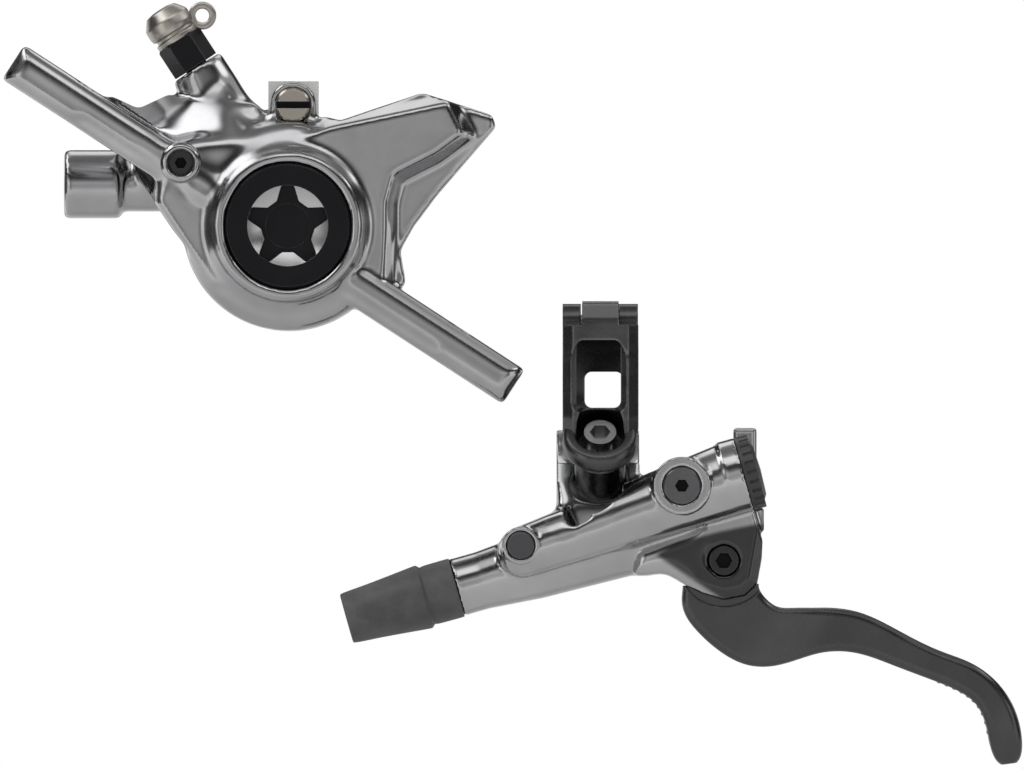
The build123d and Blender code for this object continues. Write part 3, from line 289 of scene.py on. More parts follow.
def swept(middle, first, second, wide, thick, wrap=False, columns=24, power=2.6):
    """A superellipse (|cos v|^(2/p) wide, |sin v|^(2/p) thick) along a line of middles, with closed ends."""
    angle = np.linspace(0.0, 2 * pi, columns, endpoint=False)[None, :, None]
    u, v = powered(np.cos(angle), 2 / power), powered(np.sin(angle), 2 / power)
    wide, thick = (np.broadcast_to(np.asarray(w, float), len(middle))[:, None, None] for w in (wide, thick))
    points = middle[:, None, :] + u * wide * first[:, None, :] + v * thick * second[:, None, :]
    points = points.reshape(-1, 3)
    if not wrap:
        return capped(points, columns, [middle[0], middle[-1]])
    return points, outward(points, grid_faces(len(middle), columns, wrap_rows=True, wrap_columns=True))


def turned_surface(profile, origin, direction, turns=96):
    """A closed profile of (radius r, along s) turned once: origin + s d + r (cos v e + sin v f)."""
    along, first, second = across(direction)
    angle = np.linspace(0.0, 2 * pi, turns, endpoint=False)[None, :, None]
    ring = np.cos(angle) * first + np.sin(angle) * second
    profile = np.asarray(profile, float)
    points = np.asarray(origin) + profile[:, 1, None, None] * along + profile[:, 0, None, None] * ring
    points = points.reshape(-1, 3)
    faces = grid_faces(len(profile), turns, wrap_rows=True, wrap_columns=True)
    return points, outward(points, faces)


def eased(corners, steps=5, share=0.35):
    """A closed chain of corners with each corner cut by a parabola: (1-t)^2 a + 2t(1-t) corner + t^2 b."""
    corner = np.asarray(corners, float)
    before, after = np.roll(corner, 1, axis=0), np.roll(corner, -1, axis=0)
    a = corner + share * (before - corner)
    b = corner + share * (after - corner)
    t = np.linspace(0.0, 1.0, steps)[None, :, None]
    curve = (1 - t) ** 2 * a[:, None] + 2 * t * (1 - t) * corner[:, None] + t**2 * b[:, None]
    return curve.reshape(-1, 2)


def merged_copy(node, name):
    """The triangles of one frame node as a joined mesh in an object of its own."""
    source = NODES[node]
    shape = bmesh.new()
    shape.from_mesh(source.data)
    bmesh.ops.remove_doubles(shape, verts=shape.verts, dist=1e-6)
    mesh = bpy.data.meshes.new(name)
    shape.to_mesh(mesh)
    shape.free()
    return placed(name, mesh)


def relaxed(points, edges, hold, steps, back=0.0):
    """Each step moves a point half-way to the mean of its neighbours, then out again by the share in back."""
    count = len(points)
    first, second = edges[:, 0], edges[:, 1]
    degree = np.bincount(first, minlength=count) + np.bincount(second, minlength=count)
    strides = [0.5, -back] if back else [0.5]
    for stride in strides * steps:
        mean = np.empty_like(points)
        for axis in range(3):
            total = np.bincount(first, weights=points[second, axis], minlength=count)
            total += np.bincount(second, weights=points[first, axis], minlength=count)
            mean[:, axis] = total / degree
        points = points + stride * hold[:, None] * (mean - points)
    return points


def everywhere(points):
    """1 at every point."""
    return np.ones(len(points))


def nowhere(points):
    """0 at every point."""
    return np.zeros(len(points))


def smooth_step(t):
    """3t^2 - 2t^3: from 0 to 1 with level ends."""
    return t * t * (3.0 - 2.0 * t)


def between(value, low, high):
    """0 below low, 1 above high and even in between; with low above high it falls instead."""
    return np.clip((value - low) / (high - low), 0.0, 1.0)


def forged_skin(name, node, grid, rounds, shade, material, body, slot, added=None, carved=None):
    """One closed skin over a forging: gridded in cells, then relaxed in rounds of (steps, hold, share back).

    A surface that is added is gridded with the node. carved(points) takes the points' place before they are
    relaxed, and shade(points) is kept as the attribute by which alloy mixes in its tone of painted shade.
    """
    piece = merged_copy(node, name)
    if added is not None:
        extra = new_mesh(name + "_added", *added)
        shape = bmesh.new()
        shape.from_mesh(piece.data)
        shape.from_mesh(extra)
        shape.to_mesh(piece.data)
        shape.free()
        bpy.data.meshes.remove(extra)
    remesh = piece.modifiers.new("grid", "REMESH")
    remesh.mode = "VOXEL"
    remesh.voxel_size = grid
    remesh.adaptivity = 0.0
    graph = bpy.context.evaluated_depsgraph_get()
    skin = bpy.data.meshes.new_from_object(piece.evaluated_get(graph))
    piece.modifiers.clear()
    piece.data = skin
    count = len(skin.vertices)
    points = np.empty(count * 3, np.float32)
    skin.vertices.foreach_get("co", points)
    edges = np.empty(len(skin.edges) * 2, np.int32)
    skin.edges.foreach_get("vertices", edges)
    points = points.reshape(-1, 3).astype(float)
    if carved is not None:
        points = carved(points)
    for steps, hold, back in rounds:
        points = relaxed(points, edges.reshape(-1, 2), hold(points), steps, back)
    tone = skin.attributes.new("shade", "FLOAT", "POINT")
    tone.data.foreach_set("value", shade(points).astype(np.float32))
    skin.vertices.foreach_set("co", points.astype(np.float32).ravel())
    skin.update()
    skin.shade_smooth()
    skin.materials.clear()
    skin.materials.append(material)
    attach(piece, body)
    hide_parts(node)
    return piece


# Materials


def new_material(name):
    """A material with its node tree, its shader and the socket of its object coordinates."""
    material = bpy.data.materials.new(name)
    material.use_nodes = True
    tree = material.node_tree
    shader = tree.nodes["Principled BSDF"]
    place = tree.nodes.new("ShaderNodeTexCoord")
    return material, tree, shader, place.outputs["Object"]


def add(tree, kind, **values):
    """A node whose named inputs or settings are filled in."""
    made = tree.nodes.new(kind)
    for key, value in values.items():
        label = key.replace("_", " ")
        if hasattr(made, key):
            setattr(made, key, value)
        else:
            made.inputs[label].default_value = value
    return made


def noise(tree, place, scale, detail=3.0, roughness=0.55):
    """Noise of that many cells per metre."""
    made = add(tree, "ShaderNodeTexNoise", Scale=scale, Detail=detail, Roughness=roughness)
    tree.links.new(place, made.inputs["Vector"])
    return made.outputs["Fac"]


def ramp(tree, value, low, high, start=0.0, end=1.0):
    """The value carried from start..end to low..high."""
    made = add(tree, "ShaderNodeMapRange", From_Min=start, From_Max=end, To_Min=low, To_Max=high)
    tree.links.new(value, made.inputs["Value"])
    return made.outputs["Result"]


def mixed(tree, factor, one, other):
    """Two colours mixed by a factor."""
    made = tree.nodes.new("ShaderNodeMix")
    made.data_type = "RGBA"
    tree.links.new(factor, made.inputs["Factor"])
    for socket, value in ((made.inputs["A"], one), (made.inputs["B"], other)):
        if hasattr(value, "links"):
            tree.links.new(value, socket)
        else:
            socket.default_value = (*value, 1.0)
    return made.outputs["Result"]


def math_node(tree, operation, one, other=None, clamp=False):
    """Arithmetic on one or two values."""
    made = add(tree, "ShaderNodeMath", operation=operation, use_clamp=clamp)
    for socket, value in zip(made.inputs, (one, other)):
        if value is None:
            continue
        if hasattr(value, "links"):
            tree.links.new(value, socket)
        else:
            socket.default_value = value
    return made.outputs["Value"]


def edge_amount(tree, radius, gain):
    """How far the rounded edge normal leaves the flat one: 0 on a face, up to 1 along an edge."""
    bevel = add(tree, "ShaderNodeBevel", samples=4, Radius=radius)
    flat = tree.nodes.new("ShaderNodeNewGeometry")
    dot = add(tree, "ShaderNodeVectorMath", operation="DOT_PRODUCT")
    tree.links.new(bevel.outputs["Normal"], dot.inputs[0])
    tree.links.new(flat.outputs["Normal"], dot.inputs[1])
    away = math_node(tree, "SUBTRACT", 1.0, dot.outputs["Value"])
    return bevel.outputs["Normal"], math_node(tree, "MULTIPLY", away, gain, clamp=True)


def bump(tree, height, strength, distance, normal=None):
    """A normal bumped by a height."""
    made = add(tree, "ShaderNodeBump", Strength=strength, Distance=distance)
    tree.links.new(height, made.inputs["Height"])
    if normal is not None:
        tree.links.new(normal, made.inputs["Normal"])
    return made.outputs["Normal"]


def centred(tree, place, centre):
    """The coordinates measured from a centre."""
    shift = add(tree, "ShaderNodeMapping", vector_type="POINT")
    shift.inputs["Location"].default_value = [-c for c in centre]
    tree.links.new(place, shift.inputs["Vector"])
    return shift.outputs["Vector"]


def turned_rings(tree, place, centre, pitch):
    """Concentric turning marks about an axis along Y through the centre."""
    made = add(
        tree,
        "ShaderNodeTexWave",
        wave_type="RINGS",
        rings_direction="Y",
        Scale=WAVE_RINGS / pitch,
        Distortion=0.6,
        Detail=1.0,
        Detail_Scale=3.0,
    )
    tree.links.new(centred(tree, place, centre), made.inputs["Vector"])
    return made.outputs["Fac"]


def sunk(node, radius, depth=0.15 * MM, dark=SOCKET_PAINTED_SHADE):
    """The patch of painted shade in a socket or slot sunk in the near face of a node, as alloy's
    bare_and_shade_patch expects it.
    """
    low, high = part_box(node)
    return ((low + high) / 2, radius, low[1] + depth, low[1] + 5 * MM, dark)


def turned_patch(tree, place, centre, radius, shallow, deep):
    """1 within a radius of an axis along Y, between two depths."""
    split = tree.nodes.new("ShaderNodeSeparateXYZ")
    tree.links.new(centred(tree, place, centre), split.inputs["Vector"])
    wide = math_node(tree, "MULTIPLY", split.outputs["X"], split.outputs["X"])
    tall = math_node(tree, "MULTIPLY", split.outputs["Z"], split.outputs["Z"])
    inside = math_node(tree, "LESS_THAN", math_node(tree, "ADD", wide, tall), radius**2)
    below = math_node(tree, "GREATER_THAN", split.outputs["Y"], shallow)
    above = math_node(tree, "LESS_THAN", split.outputs["Y"], deep)
    return math_node(tree, "MULTIPLY", inside, math_node(tree, "MULTIPLY", below, above))


def alloy(
    name, colour, roughness, edge=0.25 * MM, grain=0.25, rings=None, soft_edge=True, shaded=None, bare_and_shade_patch=None
):
    """Metal: two near tones from a broad noise, a patchy roughness, a fine grain and edges lightened in
    patches as a painted highlight.

    rings is (centre, pitch) of turning marks, shaded a tone of painted shade for the skin's shade attribute,
    and bare_and_shade_patch a patch of another tone as (centre, radius, nearest y, farthest y, colour):
    painted shade in sunk sockets and slots, and the paler dish of the bore cap.
    """
    material, tree, shader, place = new_material(name)
    broad = noise(tree, place, 90.0, 4.0)
    dark, light = ([min(1.0, c * share) for c in colour] for share in (0.9, 1.1))
    tone = mixed(tree, ramp(tree, broad, 0.0, 1.0, 0.3, 0.7), dark, light)
    # The skin's shade attribute mixes in a darker tone: painted shade on the lever's cheeks
    if shaded is not None:
        mask = add(tree, "ShaderNodeAttribute", attribute_name="shade")
        tone = mixed(tree, mask.outputs["Fac"], tone, shaded)
    # A patch of another tone: painted shade in sunk sockets and slots, and the paler dish of the bore cap
    if bare_and_shade_patch is not None:
        centre, radius, shallow, deep, patch_colour = bare_and_shade_patch
        centre = [centre[0], 0.0, centre[2]]
        tone = mixed(tree, turned_patch(tree, place, centre, radius, shallow, deep), tone, patch_colour)
    shader.inputs["Metallic"].default_value = 1.0
    fine = noise(tree, place, 1400.0, 3.0, 0.7)
    smear = noise(tree, place, 260.0, 5.0, 0.6)
    patchy = ramp(tree, smear, roughness * 0.82, roughness * 1.18, 0.3, 0.7)
    rough = math_node(tree, "ADD", patchy, ramp(tree, fine, -0.02, 0.02))
    tree.links.new(rough, shader.inputs["Roughness"])
    normal = None
    # Edges lightened in noisy patches: a painted highlight along the edges
    if soft_edge:
        normal, amount = edge_amount(tree, edge, 4.0)
        edge_highlight = [min(1.0, c + EDGE_PAINTED_HIGHLIGHT * (0.6 - c * 0.5)) for c in colour]
        amount = math_node(tree, "MULTIPLY", amount, ramp(tree, smear, 0.35, 1.0, 0.35, 0.6))
        tone = mixed(tree, amount, tone, edge_highlight)
    tree.links.new(tone, shader.inputs["Base Color"])
    if rings is not None:
        normal = bump(tree, turned_rings(tree, place, *rings), 0.18, 0.02 * MM, normal)
    if grain:
        normal = bump(tree, fine, grain, 0.02 * MM, normal)
    if normal is not None:
        tree.links.new(normal, shader.inputs["Normal"])
    return material


def rubber(name, colour, roughness=0.5, grain=0.4):
    """Rubber: matt, with a fine pebble, a mould bloom of paler patches and a slight sheen."""
    material, tree, shader, place = new_material(name)
    bloom = noise(tree, place, 160.0, 5.0, 0.65)
    tone = mixed(tree, ramp(tree, bloom, 0.0, 1.0, 0.4, 0.75), colour, [c * 1.6 + 0.01 for c in colour])
    tree.links.new(tone, shader.inputs["Base Color"])
    fine = noise(tree, place, 2200.0, 2.0, 0.6)
    tree.links.new(ramp(tree, bloom, roughness - 0.08, roughness + 0.08), shader.inputs["Roughness"])
    shader.inputs["Specular IOR Level"].default_value = 0.4
    tree.links.new(bump(tree, fine, grain, 0.03 * MM), shader.inputs["Normal"])
    return material


def moulded(name, colour, roughness=0.45, grain=0.25):
    """Moulded plastic: even colour with slight flow tone and a fine orange-peel surface."""
    material, tree, shader, place = new_material(name)
    flow = noise(tree, place, 120.0, 3.0)
    dark, light = ([min(1.0, c * share) for c in colour] for share in (0.88, 1.12))
    tone = mixed(tree, ramp(tree, flow, 0.0, 1.0, 0.3, 0.7), dark, light)
    tree.links.new(tone, shader.inputs["Base Color"])
    peel = noise(tree, place, 900.0, 2.0)
    tree.links.new(ramp(tree, flow, roughness - 0.05, roughness + 0.05), shader.inputs["Roughness"])
    normal, _ = edge_amount(tree, 0.2 * MM, 4.0)
    tree.links.new(bump(tree, peel, grain, 0.02 * MM, normal), shader.inputs["Normal"])
    return material


def sintered(name):
    """Friction block: dark matrix with copper and graphite specks."""
    material, tree, shader, place = new_material(name)
    speck = add(tree, "ShaderNodeTexVoronoi", Scale=2600.0)
    tree.links.new(place, speck.inputs["Vector"])
    pick = ramp(tree, speck.outputs["Distance"], 1.0, 0.0, 0.1, 0.28)
    tone = mixed(tree, pick, (0.09, 0.075, 0.065), (0.45, 0.24, 0.13))
    tree.links.new(tone, shader.inputs["Base Color"])
    shader.inputs["Roughness"].default_value = 0.85
    tree.links.new(bump(tree, speck.outputs["Distance"], 0.5, 0.05 * MM), shader.inputs["Normal"])
    return material


def paint_nodes(names, material):
    """Gives every material slot of those frame nodes one material."""
    for name in names:
        node = NODES[name]
        if not node.material_slots:
            node.data.materials.append(material)
        for slot in node.material_slots:
            slot.material = material


# Operators


class BrakeOperator:
    """Shared by all steps of the dresser."""

    bl_options = {"REGISTER", "UNDO"}


class DressCaliper(BrakeOperator, bpy.types.Operator):
    """Lays the polished skin over the caliper forging"""

    bl_idname = "brake.dress_caliper"
    bl_label = "Dress Caliper"

    def execute(self, context):
        finish, skin = context.scene.brake_finish, context.scene.brake_skin
        dull = finish.forging_roughness
        metal = alloy("caliper_alloy", finish.caliper_grey, dull, soft_edge=False, grain=0.0)
        rounds = (
            (skin.soften_steps, melting, 0.0),
            (skin.round_steps, everywhere, 0.0),
            (skin.relax_steps, everywhere, PUSH_BACK),
        )
        form = "caliper_forging", "caliper_body", skin.caliper_grid, rounds, nowhere
        forged_skin(*form, metal, "root", "cast_grey", added=nipple_flare(), carved=swept_plate)
        turned = alloy("caliper_turned", finish.caliper_grey, dull * 0.8, soft_edge=False, grain=0.0)
        rims = ("bore_rim", bore_rim), ("grub_rim", grub_rim), ("hose_port_thread", port_thread)
        for name, surface in rims:
            mesh_piece(name, *surface(), turned, "root", "cast_grey")
        return {"FINISHED"}


def from_nipple(points):
    """Millimetres from the nipple's top: (x, y, z), then along its line, then beside that line."""
    away = (points - np.array(NIPPLE_TOP)) / MM
    return away, away @ np.array(NIPPLE_LINE), away @ np.array(NIPPLE_SIDE)


def melting(points):
    """1 round the nipple's flare: between its top and foot along its line, and beside that line."""
    _, along, aside = from_nipple(points)
    band = between(along, -5.0, -8.0) * between(along, -21.0, -18.0)
    return band * between(aside, -17.0, -14.0) * between(aside, 8.0, 6.0)


def flare_depth(along):
    """How far the sweep stands in front of the boss's line: a smooth step from its radius to the plate."""
    return BOSS_RADIUS + FLARE_RISE * smooth_step(np.clip((-along - FLARE_START) / FLARE_LENGTH, 0.0, 1.0))


def nipple_flare(rows=34, columns=64, above=0.6, length=16.4, spread=13.0):
    """The boss's sweep: sections w(s) |cos v|^p wide, n(s) |sin v|^p deep, widening to the left as s^1.5."""
    s = np.linspace(0.0, 1.0, rows)[:, None]
    v = np.linspace(0.0, 2 * pi, columns, endpoint=False)[None, :]
    along = -above - length * s + 0 * v
    reach = spread * s**1.5
    power = 1.0 - 0.25 * s
    near = np.where(np.sin(v) > 0, flare_depth(along), BOSS_RADIUS)
    depth = near * powered(np.sin(v), power)
    aside = (BOSS_RADIUS + reach / 2) * powered(np.cos(v), power) - reach / 2
    towards = np.array([0.0, -1.0, 0.0])
    points = along[..., None] * np.array(NIPPLE_LINE) + aside[..., None] * np.array(NIPPLE_SIDE)
    points = (points + depth[..., None] * towards) * MM + np.array(NIPPLE_TOP)
    return capped(points.reshape(-1, 3), columns, points[[0, -1]].mean(axis=1))


def swept_plate(points):
    """Moves points in front of the sweep back to it: y = max(y, -depth(along) + (aside + 3)^2 / 40)."""
    away, along, aside = from_nipple(points)
    front = -flare_depth(along) + np.clip((aside + 3.0) ** 2 / 40.0, 0.0, 4.5)
    touched = (along > -15.0) & (along < 3.0) & (aside > -18.0) & (aside < 7.0) & (away[:, 1] < -1.0)
    radius = np.hypot(points[:, 0] - CALIPER_CENTRE[0], points[:, 2] - CALIPER_CENTRE[2]) / MM
    touched &= (radius > 12.5) & (away[:, 1] > -9.5)
    moved = points.copy()
    moved[touched, 1] = np.maximum(away[touched, 1], front[touched]) * MM + NIPPLE_TOP[1]
    return moved


def bore_rim():
    """The turned ring round the cap: a closed profile with eased corners, turned about the bore."""
    corners = [(10.66, -10.2), (10.66, -12.6), (11.75, -12.68), (12.35, -12.1), (12.35, -10.2)]
    return turned_surface(eased(corners, 6, 0.3) * MM, CALIPER_CENTRE, (0.0, 1.0, 0.0), 160)


def grub_rim():
    """The raised ring round the port's grub screw: a low eased profile turned about the screw."""
    low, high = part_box("port_grub_screw")
    middle = (low + high) / 2
    middle[1] = 0.0
    corners = [(2.05, -11.0), (2.05, -14.2), (2.5, -14.75), (3.0, -14.6), (3.45, -13.9), (3.6, -11.0)]
    return turned_surface(eased(corners, 6, 0.35) * MM, middle, (0.0, 1.0, 0.0), 96)


def port_thread(pitch=1.25, turns=6, steps=44, root=3.4, inset=1.2):
    """Thread in the hose port: a ridge (x = pitch * a / 2 pi + w, r = root - h) carried along the angle a."""
    angle = np.linspace(0.0, 2 * pi * turns, turns * steps)[:, None]
    width = np.array([-0.5, -0.12, 0.12, 0.5])[None, :] * pitch
    height = np.array([-0.1, 0.42, 0.42, -0.1])[None, :]
    fade = np.clip(np.minimum(angle, angle[-1] - angle) / 1.2, 0.0, 1.0)
    radius = root - height * fade
    x = inset + pitch * angle / (2 * pi) + width
    points = np.stack([x, radius * np.cos(angle), radius * np.sin(angle)], axis=-1).reshape(-1, 3) * MM
    points = points + np.array(HOSE_PORT)
    return points, outward(points, grid_faces(len(angle), width.shape[1], wrap_columns=True))


class DressLeverBody(BrakeOperator, bpy.types.Operator):
    """Lays the polished skin over the lever body forging"""

    bl_idname = "brake.dress_lever_body"
    bl_label = "Dress Lever Body"

    def execute(self, context):
        finish, skin = context.scene.brake_finish, context.scene.brake_skin
        # Painted shade: the cheeks are the same metal, given a darker tone where they would mirror a dark
        # card
        plain = {"soft_edge": False, "grain": 0.0, "shaded": finish.cheek_painted_shade}
        metal = alloy("lever_alloy", finish.lever_silver, finish.forging_roughness * 0.9, **plain)
        rounds = (2 * skin.soften_steps, joins, 0.0), (skin.relax_steps, everywhere, PUSH_BACK)
        form = "lever_forging", "lever_body", skin.lever_grid, rounds, cheek_shade_mask
        forged_skin(*form, metal, "root", "cast_bright")
        return {"FINISHED"}


def cheek_shade_mask(points):
    """Where the cheek's painted shade goes: 1 under the line from the cheek's left point up to the rim, a
    smooth step of the distance below it.
    """
    x, _, z = points.T / MM
    line = np.interp(x, [7.0, 8.7, 12.0, 15.4, 20.0, 27.0], [-29.0, -28.2, -26.3, -25.1, -23.9, -22.5])
    right = (x - 8.7) * 0.558 + (z + 28.3) * 0.83
    return smooth_step(between(line - z, 0.0, 0.9) * between(right, -0.2, 0.8))


def joins(points):
    """1 near the cheek's left wedge and near the foot of the arm, on the near side."""
    x, y, z = points.T / MM
    wedge = np.hypot((x - 10.5) * 0.8, (z + 28.0) * 1.2)
    foot = np.hypot(x + 3.5, z + 21.0)
    return between(-y, 4.0, 6.0) * np.maximum(between(wedge, 7.0, 5.0), between(foot, 6.0, 4.0))


class DressClamp(BrakeOperator, bpy.types.Operator):
    """Dark satin finish on the clamp band and its hardware"""

    bl_idname = "brake.dress_clamp"
    bl_label = "Dress Clamp"

    def execute(self, context):
        finish = context.scene.brake_finish
        satin = alloy("clamp_satin", finish.satin_dark, finish.satin_roughness, edge=0.5 * MM, grain=0.12)
        paint_nodes(["clamp_front_half", "clamp_rear_half"], satin)
        mesh_piece("clamp_lug_hood", *lug_hood(), satin, "root", "dark_satin")
        paint_nodes(["clamp_bolt"], alloy("clamp_bolt_steel", (0.34, 0.34, 0.34), 0.3, edge=0.15 * MM))
        paint_nodes(["clamp_hinge_pin"], alloy("hinge_pin_steel", finish.bare_steel, 0.28, edge=0.1 * MM))
        return {"FINISHED"}


def lug_hood():
    """The collar round the bolt head: a closed profile with eased corners, turned about the bolt's line."""
    corners = [(4.05, -1.6), (4.05, -4.6), (4.3, -4.9), (5.5, -4.85), (6.25, -4.1), (6.25, -1.6)]
    return turned_surface(eased(corners, 6, 0.35) * MM, CLAMP_BOLT, CLAMP_BOLT_LINE, 128)


class DressBlade(BrakeOperator, bpy.types.Operator):
    """Dark satin finish on the finger blade, and bearings in its eye"""

    bl_idname = "brake.dress_blade"
    bl_label = "Dress Blade"

    def execute(self, context):
        finish = context.scene.brake_finish
        dull = finish.satin_roughness * 0.95
        satin = alloy("blade_satin", finish.satin_dark, dull, edge=0.4 * MM, grain=0.12)
        paint_nodes(["lever_blade"], satin)
        steel = alloy("roller_steel", finish.bare_steel, 0.22, edge=0.1 * MM)
        paint_nodes(["cam_roller", "cam_roller_pin", "blade_return_spring"], steel)
        paint_nodes(["blade_bush_near", "blade_bush_far"], moulded("bush_polymer", (0.42, 0.4, 0.34)))
        # Painted shade in the pivot bolt's key socket
        socket = sunk("blade_pivot_bolt", 1.6 * MM)
        bolt = alloy("pivot_bolt_steel", (0.05, 0.05, 0.052), 0.3, edge=0.15 * MM, bare_and_shade_patch=socket)
        paint_nodes(["blade_pivot_bolt"], bolt)
        pips = moulded("grip_pip_polymer", (0.03, 0.03, 0.031), 0.5)
        mesh_piece("blade_grip_pips", *grip_pips(), pips, "blade", "black_plastic")
        return {"FINISHED"}


def grip_pips(rows=10, files=3, turns=14, rings=4, radius=0.42, height=0.16, bedded=0.03):
    """Low domes on the finger side of the hook: (r cos v, r sin v, h cos(pi r / 2R)) on the blade's skin."""
    blade = NODES["lever_blade"].data
    corner = [tuple(v.co) for v in blade.vertices]
    tree = BVHTree.FromPolygons(corner, [tuple(p.vertices) for p in blade.polygons])
    share = np.linspace(0.0, 1.0, rows)
    x = np.interp(share, [0.0, 0.35, 0.7, 1.0], [56.5, 60.5, 63.3, 64.6])
    z = np.interp(share, [0.0, 0.35, 0.7, 1.0], [-49.6, -51.3, -54.0, -58.0])
    r = np.linspace(0.0, radius, rings + 1)[1:, None]
    angle = np.linspace(0.0, 2 * pi, turns, endpoint=False)[None, :]
    flat = np.stack([r * np.cos(angle), r * np.sin(angle)], axis=-1).reshape(-1, 2)
    rise = (height * np.cos(r / radius * pi / 2) - bedded + 0 * angle).reshape(-1)
    flat, rise = np.vstack([flat, [[0.0, 0.0]]]), np.append(rise, height - bedded)
    cells = disc_faces(rings, turns)
    pitch, stagger, back, middle = 1.7, 0.35, 4.0, HOSE_END[1] / MM
    domes = []
    for row in range(rows):
        for file in range(files):
            aside = (file - (files - 1) / 2) * pitch + (stagger if row % 2 else -stagger)
            start = Vector((x[row] - back, middle + aside, z[row] - back)) * MM
            spot, normal, _, _ = tree.ray_cast(start, Vector((0.7071, 0.0, 0.7071)))
            up, first, second = across(normal)
            dome = np.array(spot) + MM * (flat[:, :1] * first + flat[:, 1:] * second + rise[:, None] * up)
            domes.append((dome, cells))
    return joined(*domes)


class DressReservoir(BrakeOperator, bpy.types.Operator):
    """Finishes of the reservoir cap, bleed screw and plug"""

    bl_idname = "brake.dress_reservoir"
    bl_label = "Dress Reservoir"

    def execute(self, context):
        finish = context.scene.brake_finish
        low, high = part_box("bleed_screw")
        rings = (low + high) / 2, 0.12 * MM
        # Painted shade in the bleed screw's key socket
        socket = sunk("bleed_screw", 1.3 * MM)
        screw = alloy("bleed_screw_steel", (0.14, 0.14, 0.145), 0.3, edge=0.12 * MM, rings=rings, bare_and_shade_patch=socket)
        paint_nodes(["bleed_screw"], screw)
        paint_nodes(["side_plug"], alloy("plug_steel", (0.1, 0.1, 0.105), 0.4, edge=0.15 * MM))
        paint_nodes(["reservoir_cap"], moulded("cap_plastic", (0.03, 0.03, 0.031), 0.42))
        soft = rubber("diaphragm_rubber", finish.rubber_black)
        paint_nodes(["reservoir_diaphragm", "bleed_screw_oring"], soft)
        return {"FINISHED"}


class DressCylinder(BrakeOperator, bpy.types.Operator):
    """Finishes inside the master cylinder and at the hose end"""

    bl_idname = "brake.dress_cylinder"
    bl_label = "Dress Cylinder"

    def execute(self, context):
        finish = context.scene.brake_finish
        black = rubber("boot_rubber", finish.rubber_black)
        boot = mesh_piece("rubber_boot", *rubber_boot(), black, "root", "black_rubber")
        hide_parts("hose_boot")
        steel = alloy("plunger_steel", finish.bare_steel, 0.25, edge=0.1 * MM)
        paint_nodes(["push_plunger", "plunger_snap_ring"], steel)
        spring = mesh_piece("piston_coil_spring", *coil_spring(*SPRING_SPAN), steel, "root", "steel")
        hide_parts("master_return_spring")
        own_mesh(spring)
        paint_nodes(["master_piston"], moulded("piston_polymer", (0.05, 0.05, 0.052), 0.35))
        paint_nodes(["master_primary_seal", "master_secondary_seal"], rubber("cup_rubber", SEAL_BLACK))
        paint_nodes(["hose_flange_nut"], alloy("flange_nut_steel", (0.08, 0.08, 0.085), 0.35, edge=0.15 * MM))
        brass = alloy("fitting_brass", (0.62, 0.47, 0.22), 0.25, edge=0.1 * MM)
        paint_nodes(["hose_olive", "hose_insert"], brass)
        return {"FINISHED"}


def coil_spring(start, end, coil=2.9 * MM, wire=0.45 * MM, turns=6, sides=14):
    """A round-ended wire along c(t): coil (cos t, sin t) about the cylinder's line, pitch t / 2 pi along it.

    Each ring is c(t) + wire (e cos a + b sin a), with e away from the line and b square to e and the wire.
    """
    line, first, second = across(CYLINDER_LINE)
    slope = (end - start - 2 * wire) / turns / (2 * pi)
    angle = np.linspace(0, 2 * pi * turns, 40 * turns + 1)
    out = np.outer(np.cos(angle), first) + np.outer(np.sin(angle), second)
    turn = np.outer(-np.sin(angle), first) + np.outer(np.cos(angle), second)
    tangent = (coil * turn + slope * line) / np.hypot(coil, slope)
    side = np.cross(tangent, out)
    centre = np.array(HOSE_END) + coil * out + (start + wire + slope * angle)[:, None] * line
    dome = np.linspace(0, pi / 2, 5)[1:-1]
    swell = np.concatenate([np.cos(dome[::-1]), np.ones(len(angle)), np.cos(dome)])
    reach = wire * np.concatenate([-np.sin(dome[::-1]), np.zeros(len(angle)), np.sin(dome)])
    row = np.clip(np.arange(len(swell)) - len(dome), 0, len(angle) - 1)
    around = np.linspace(0, 2 * pi, sides, endpoint=False)[None, :, None]
    ring = np.cos(around) * out[row][:, None, :] + np.sin(around) * side[row][:, None, :]
    middle = centre[row] + reach[:, None] * tangent[row]
    points = (middle[:, None, :] + wire * swell[:, None, None] * ring).reshape(-1, 3)
    return capped(points, sides, [centre[0] - wire * tangent[0], centre[-1] + wire * tangent[-1]])


def rubber_boot():
    """The boot: a closed profile of (radius, along) with eased corners, turned about the cylinder's line."""
    left, right = -6.58, 12.62
    corners = [
        (2.62, left + 0.5),
        (3.1, left + 0.05),
        (4.2, left + 0.05),
        (4.36, left + 1.2),
        (4.62, left + 5.0),
        (5.0, left + 9.0),
        (5.34, left + 12.4),
        (5.44, left + 13.5),
        (4.86, left + 14.05),
        (5.02, left + 14.6),
        (5.06, right - 0.1),
        (4.88, right),
        (4.88, right - 0.6),
        (4.2, right - 0.7),
        (4.2, right - 6.4),
        (2.62, right - 8.4),
    ]
    return turned_surface(eased(corners, 5, 0.3) * MM, HOSE_END, CYLINDER_LINE, 120)


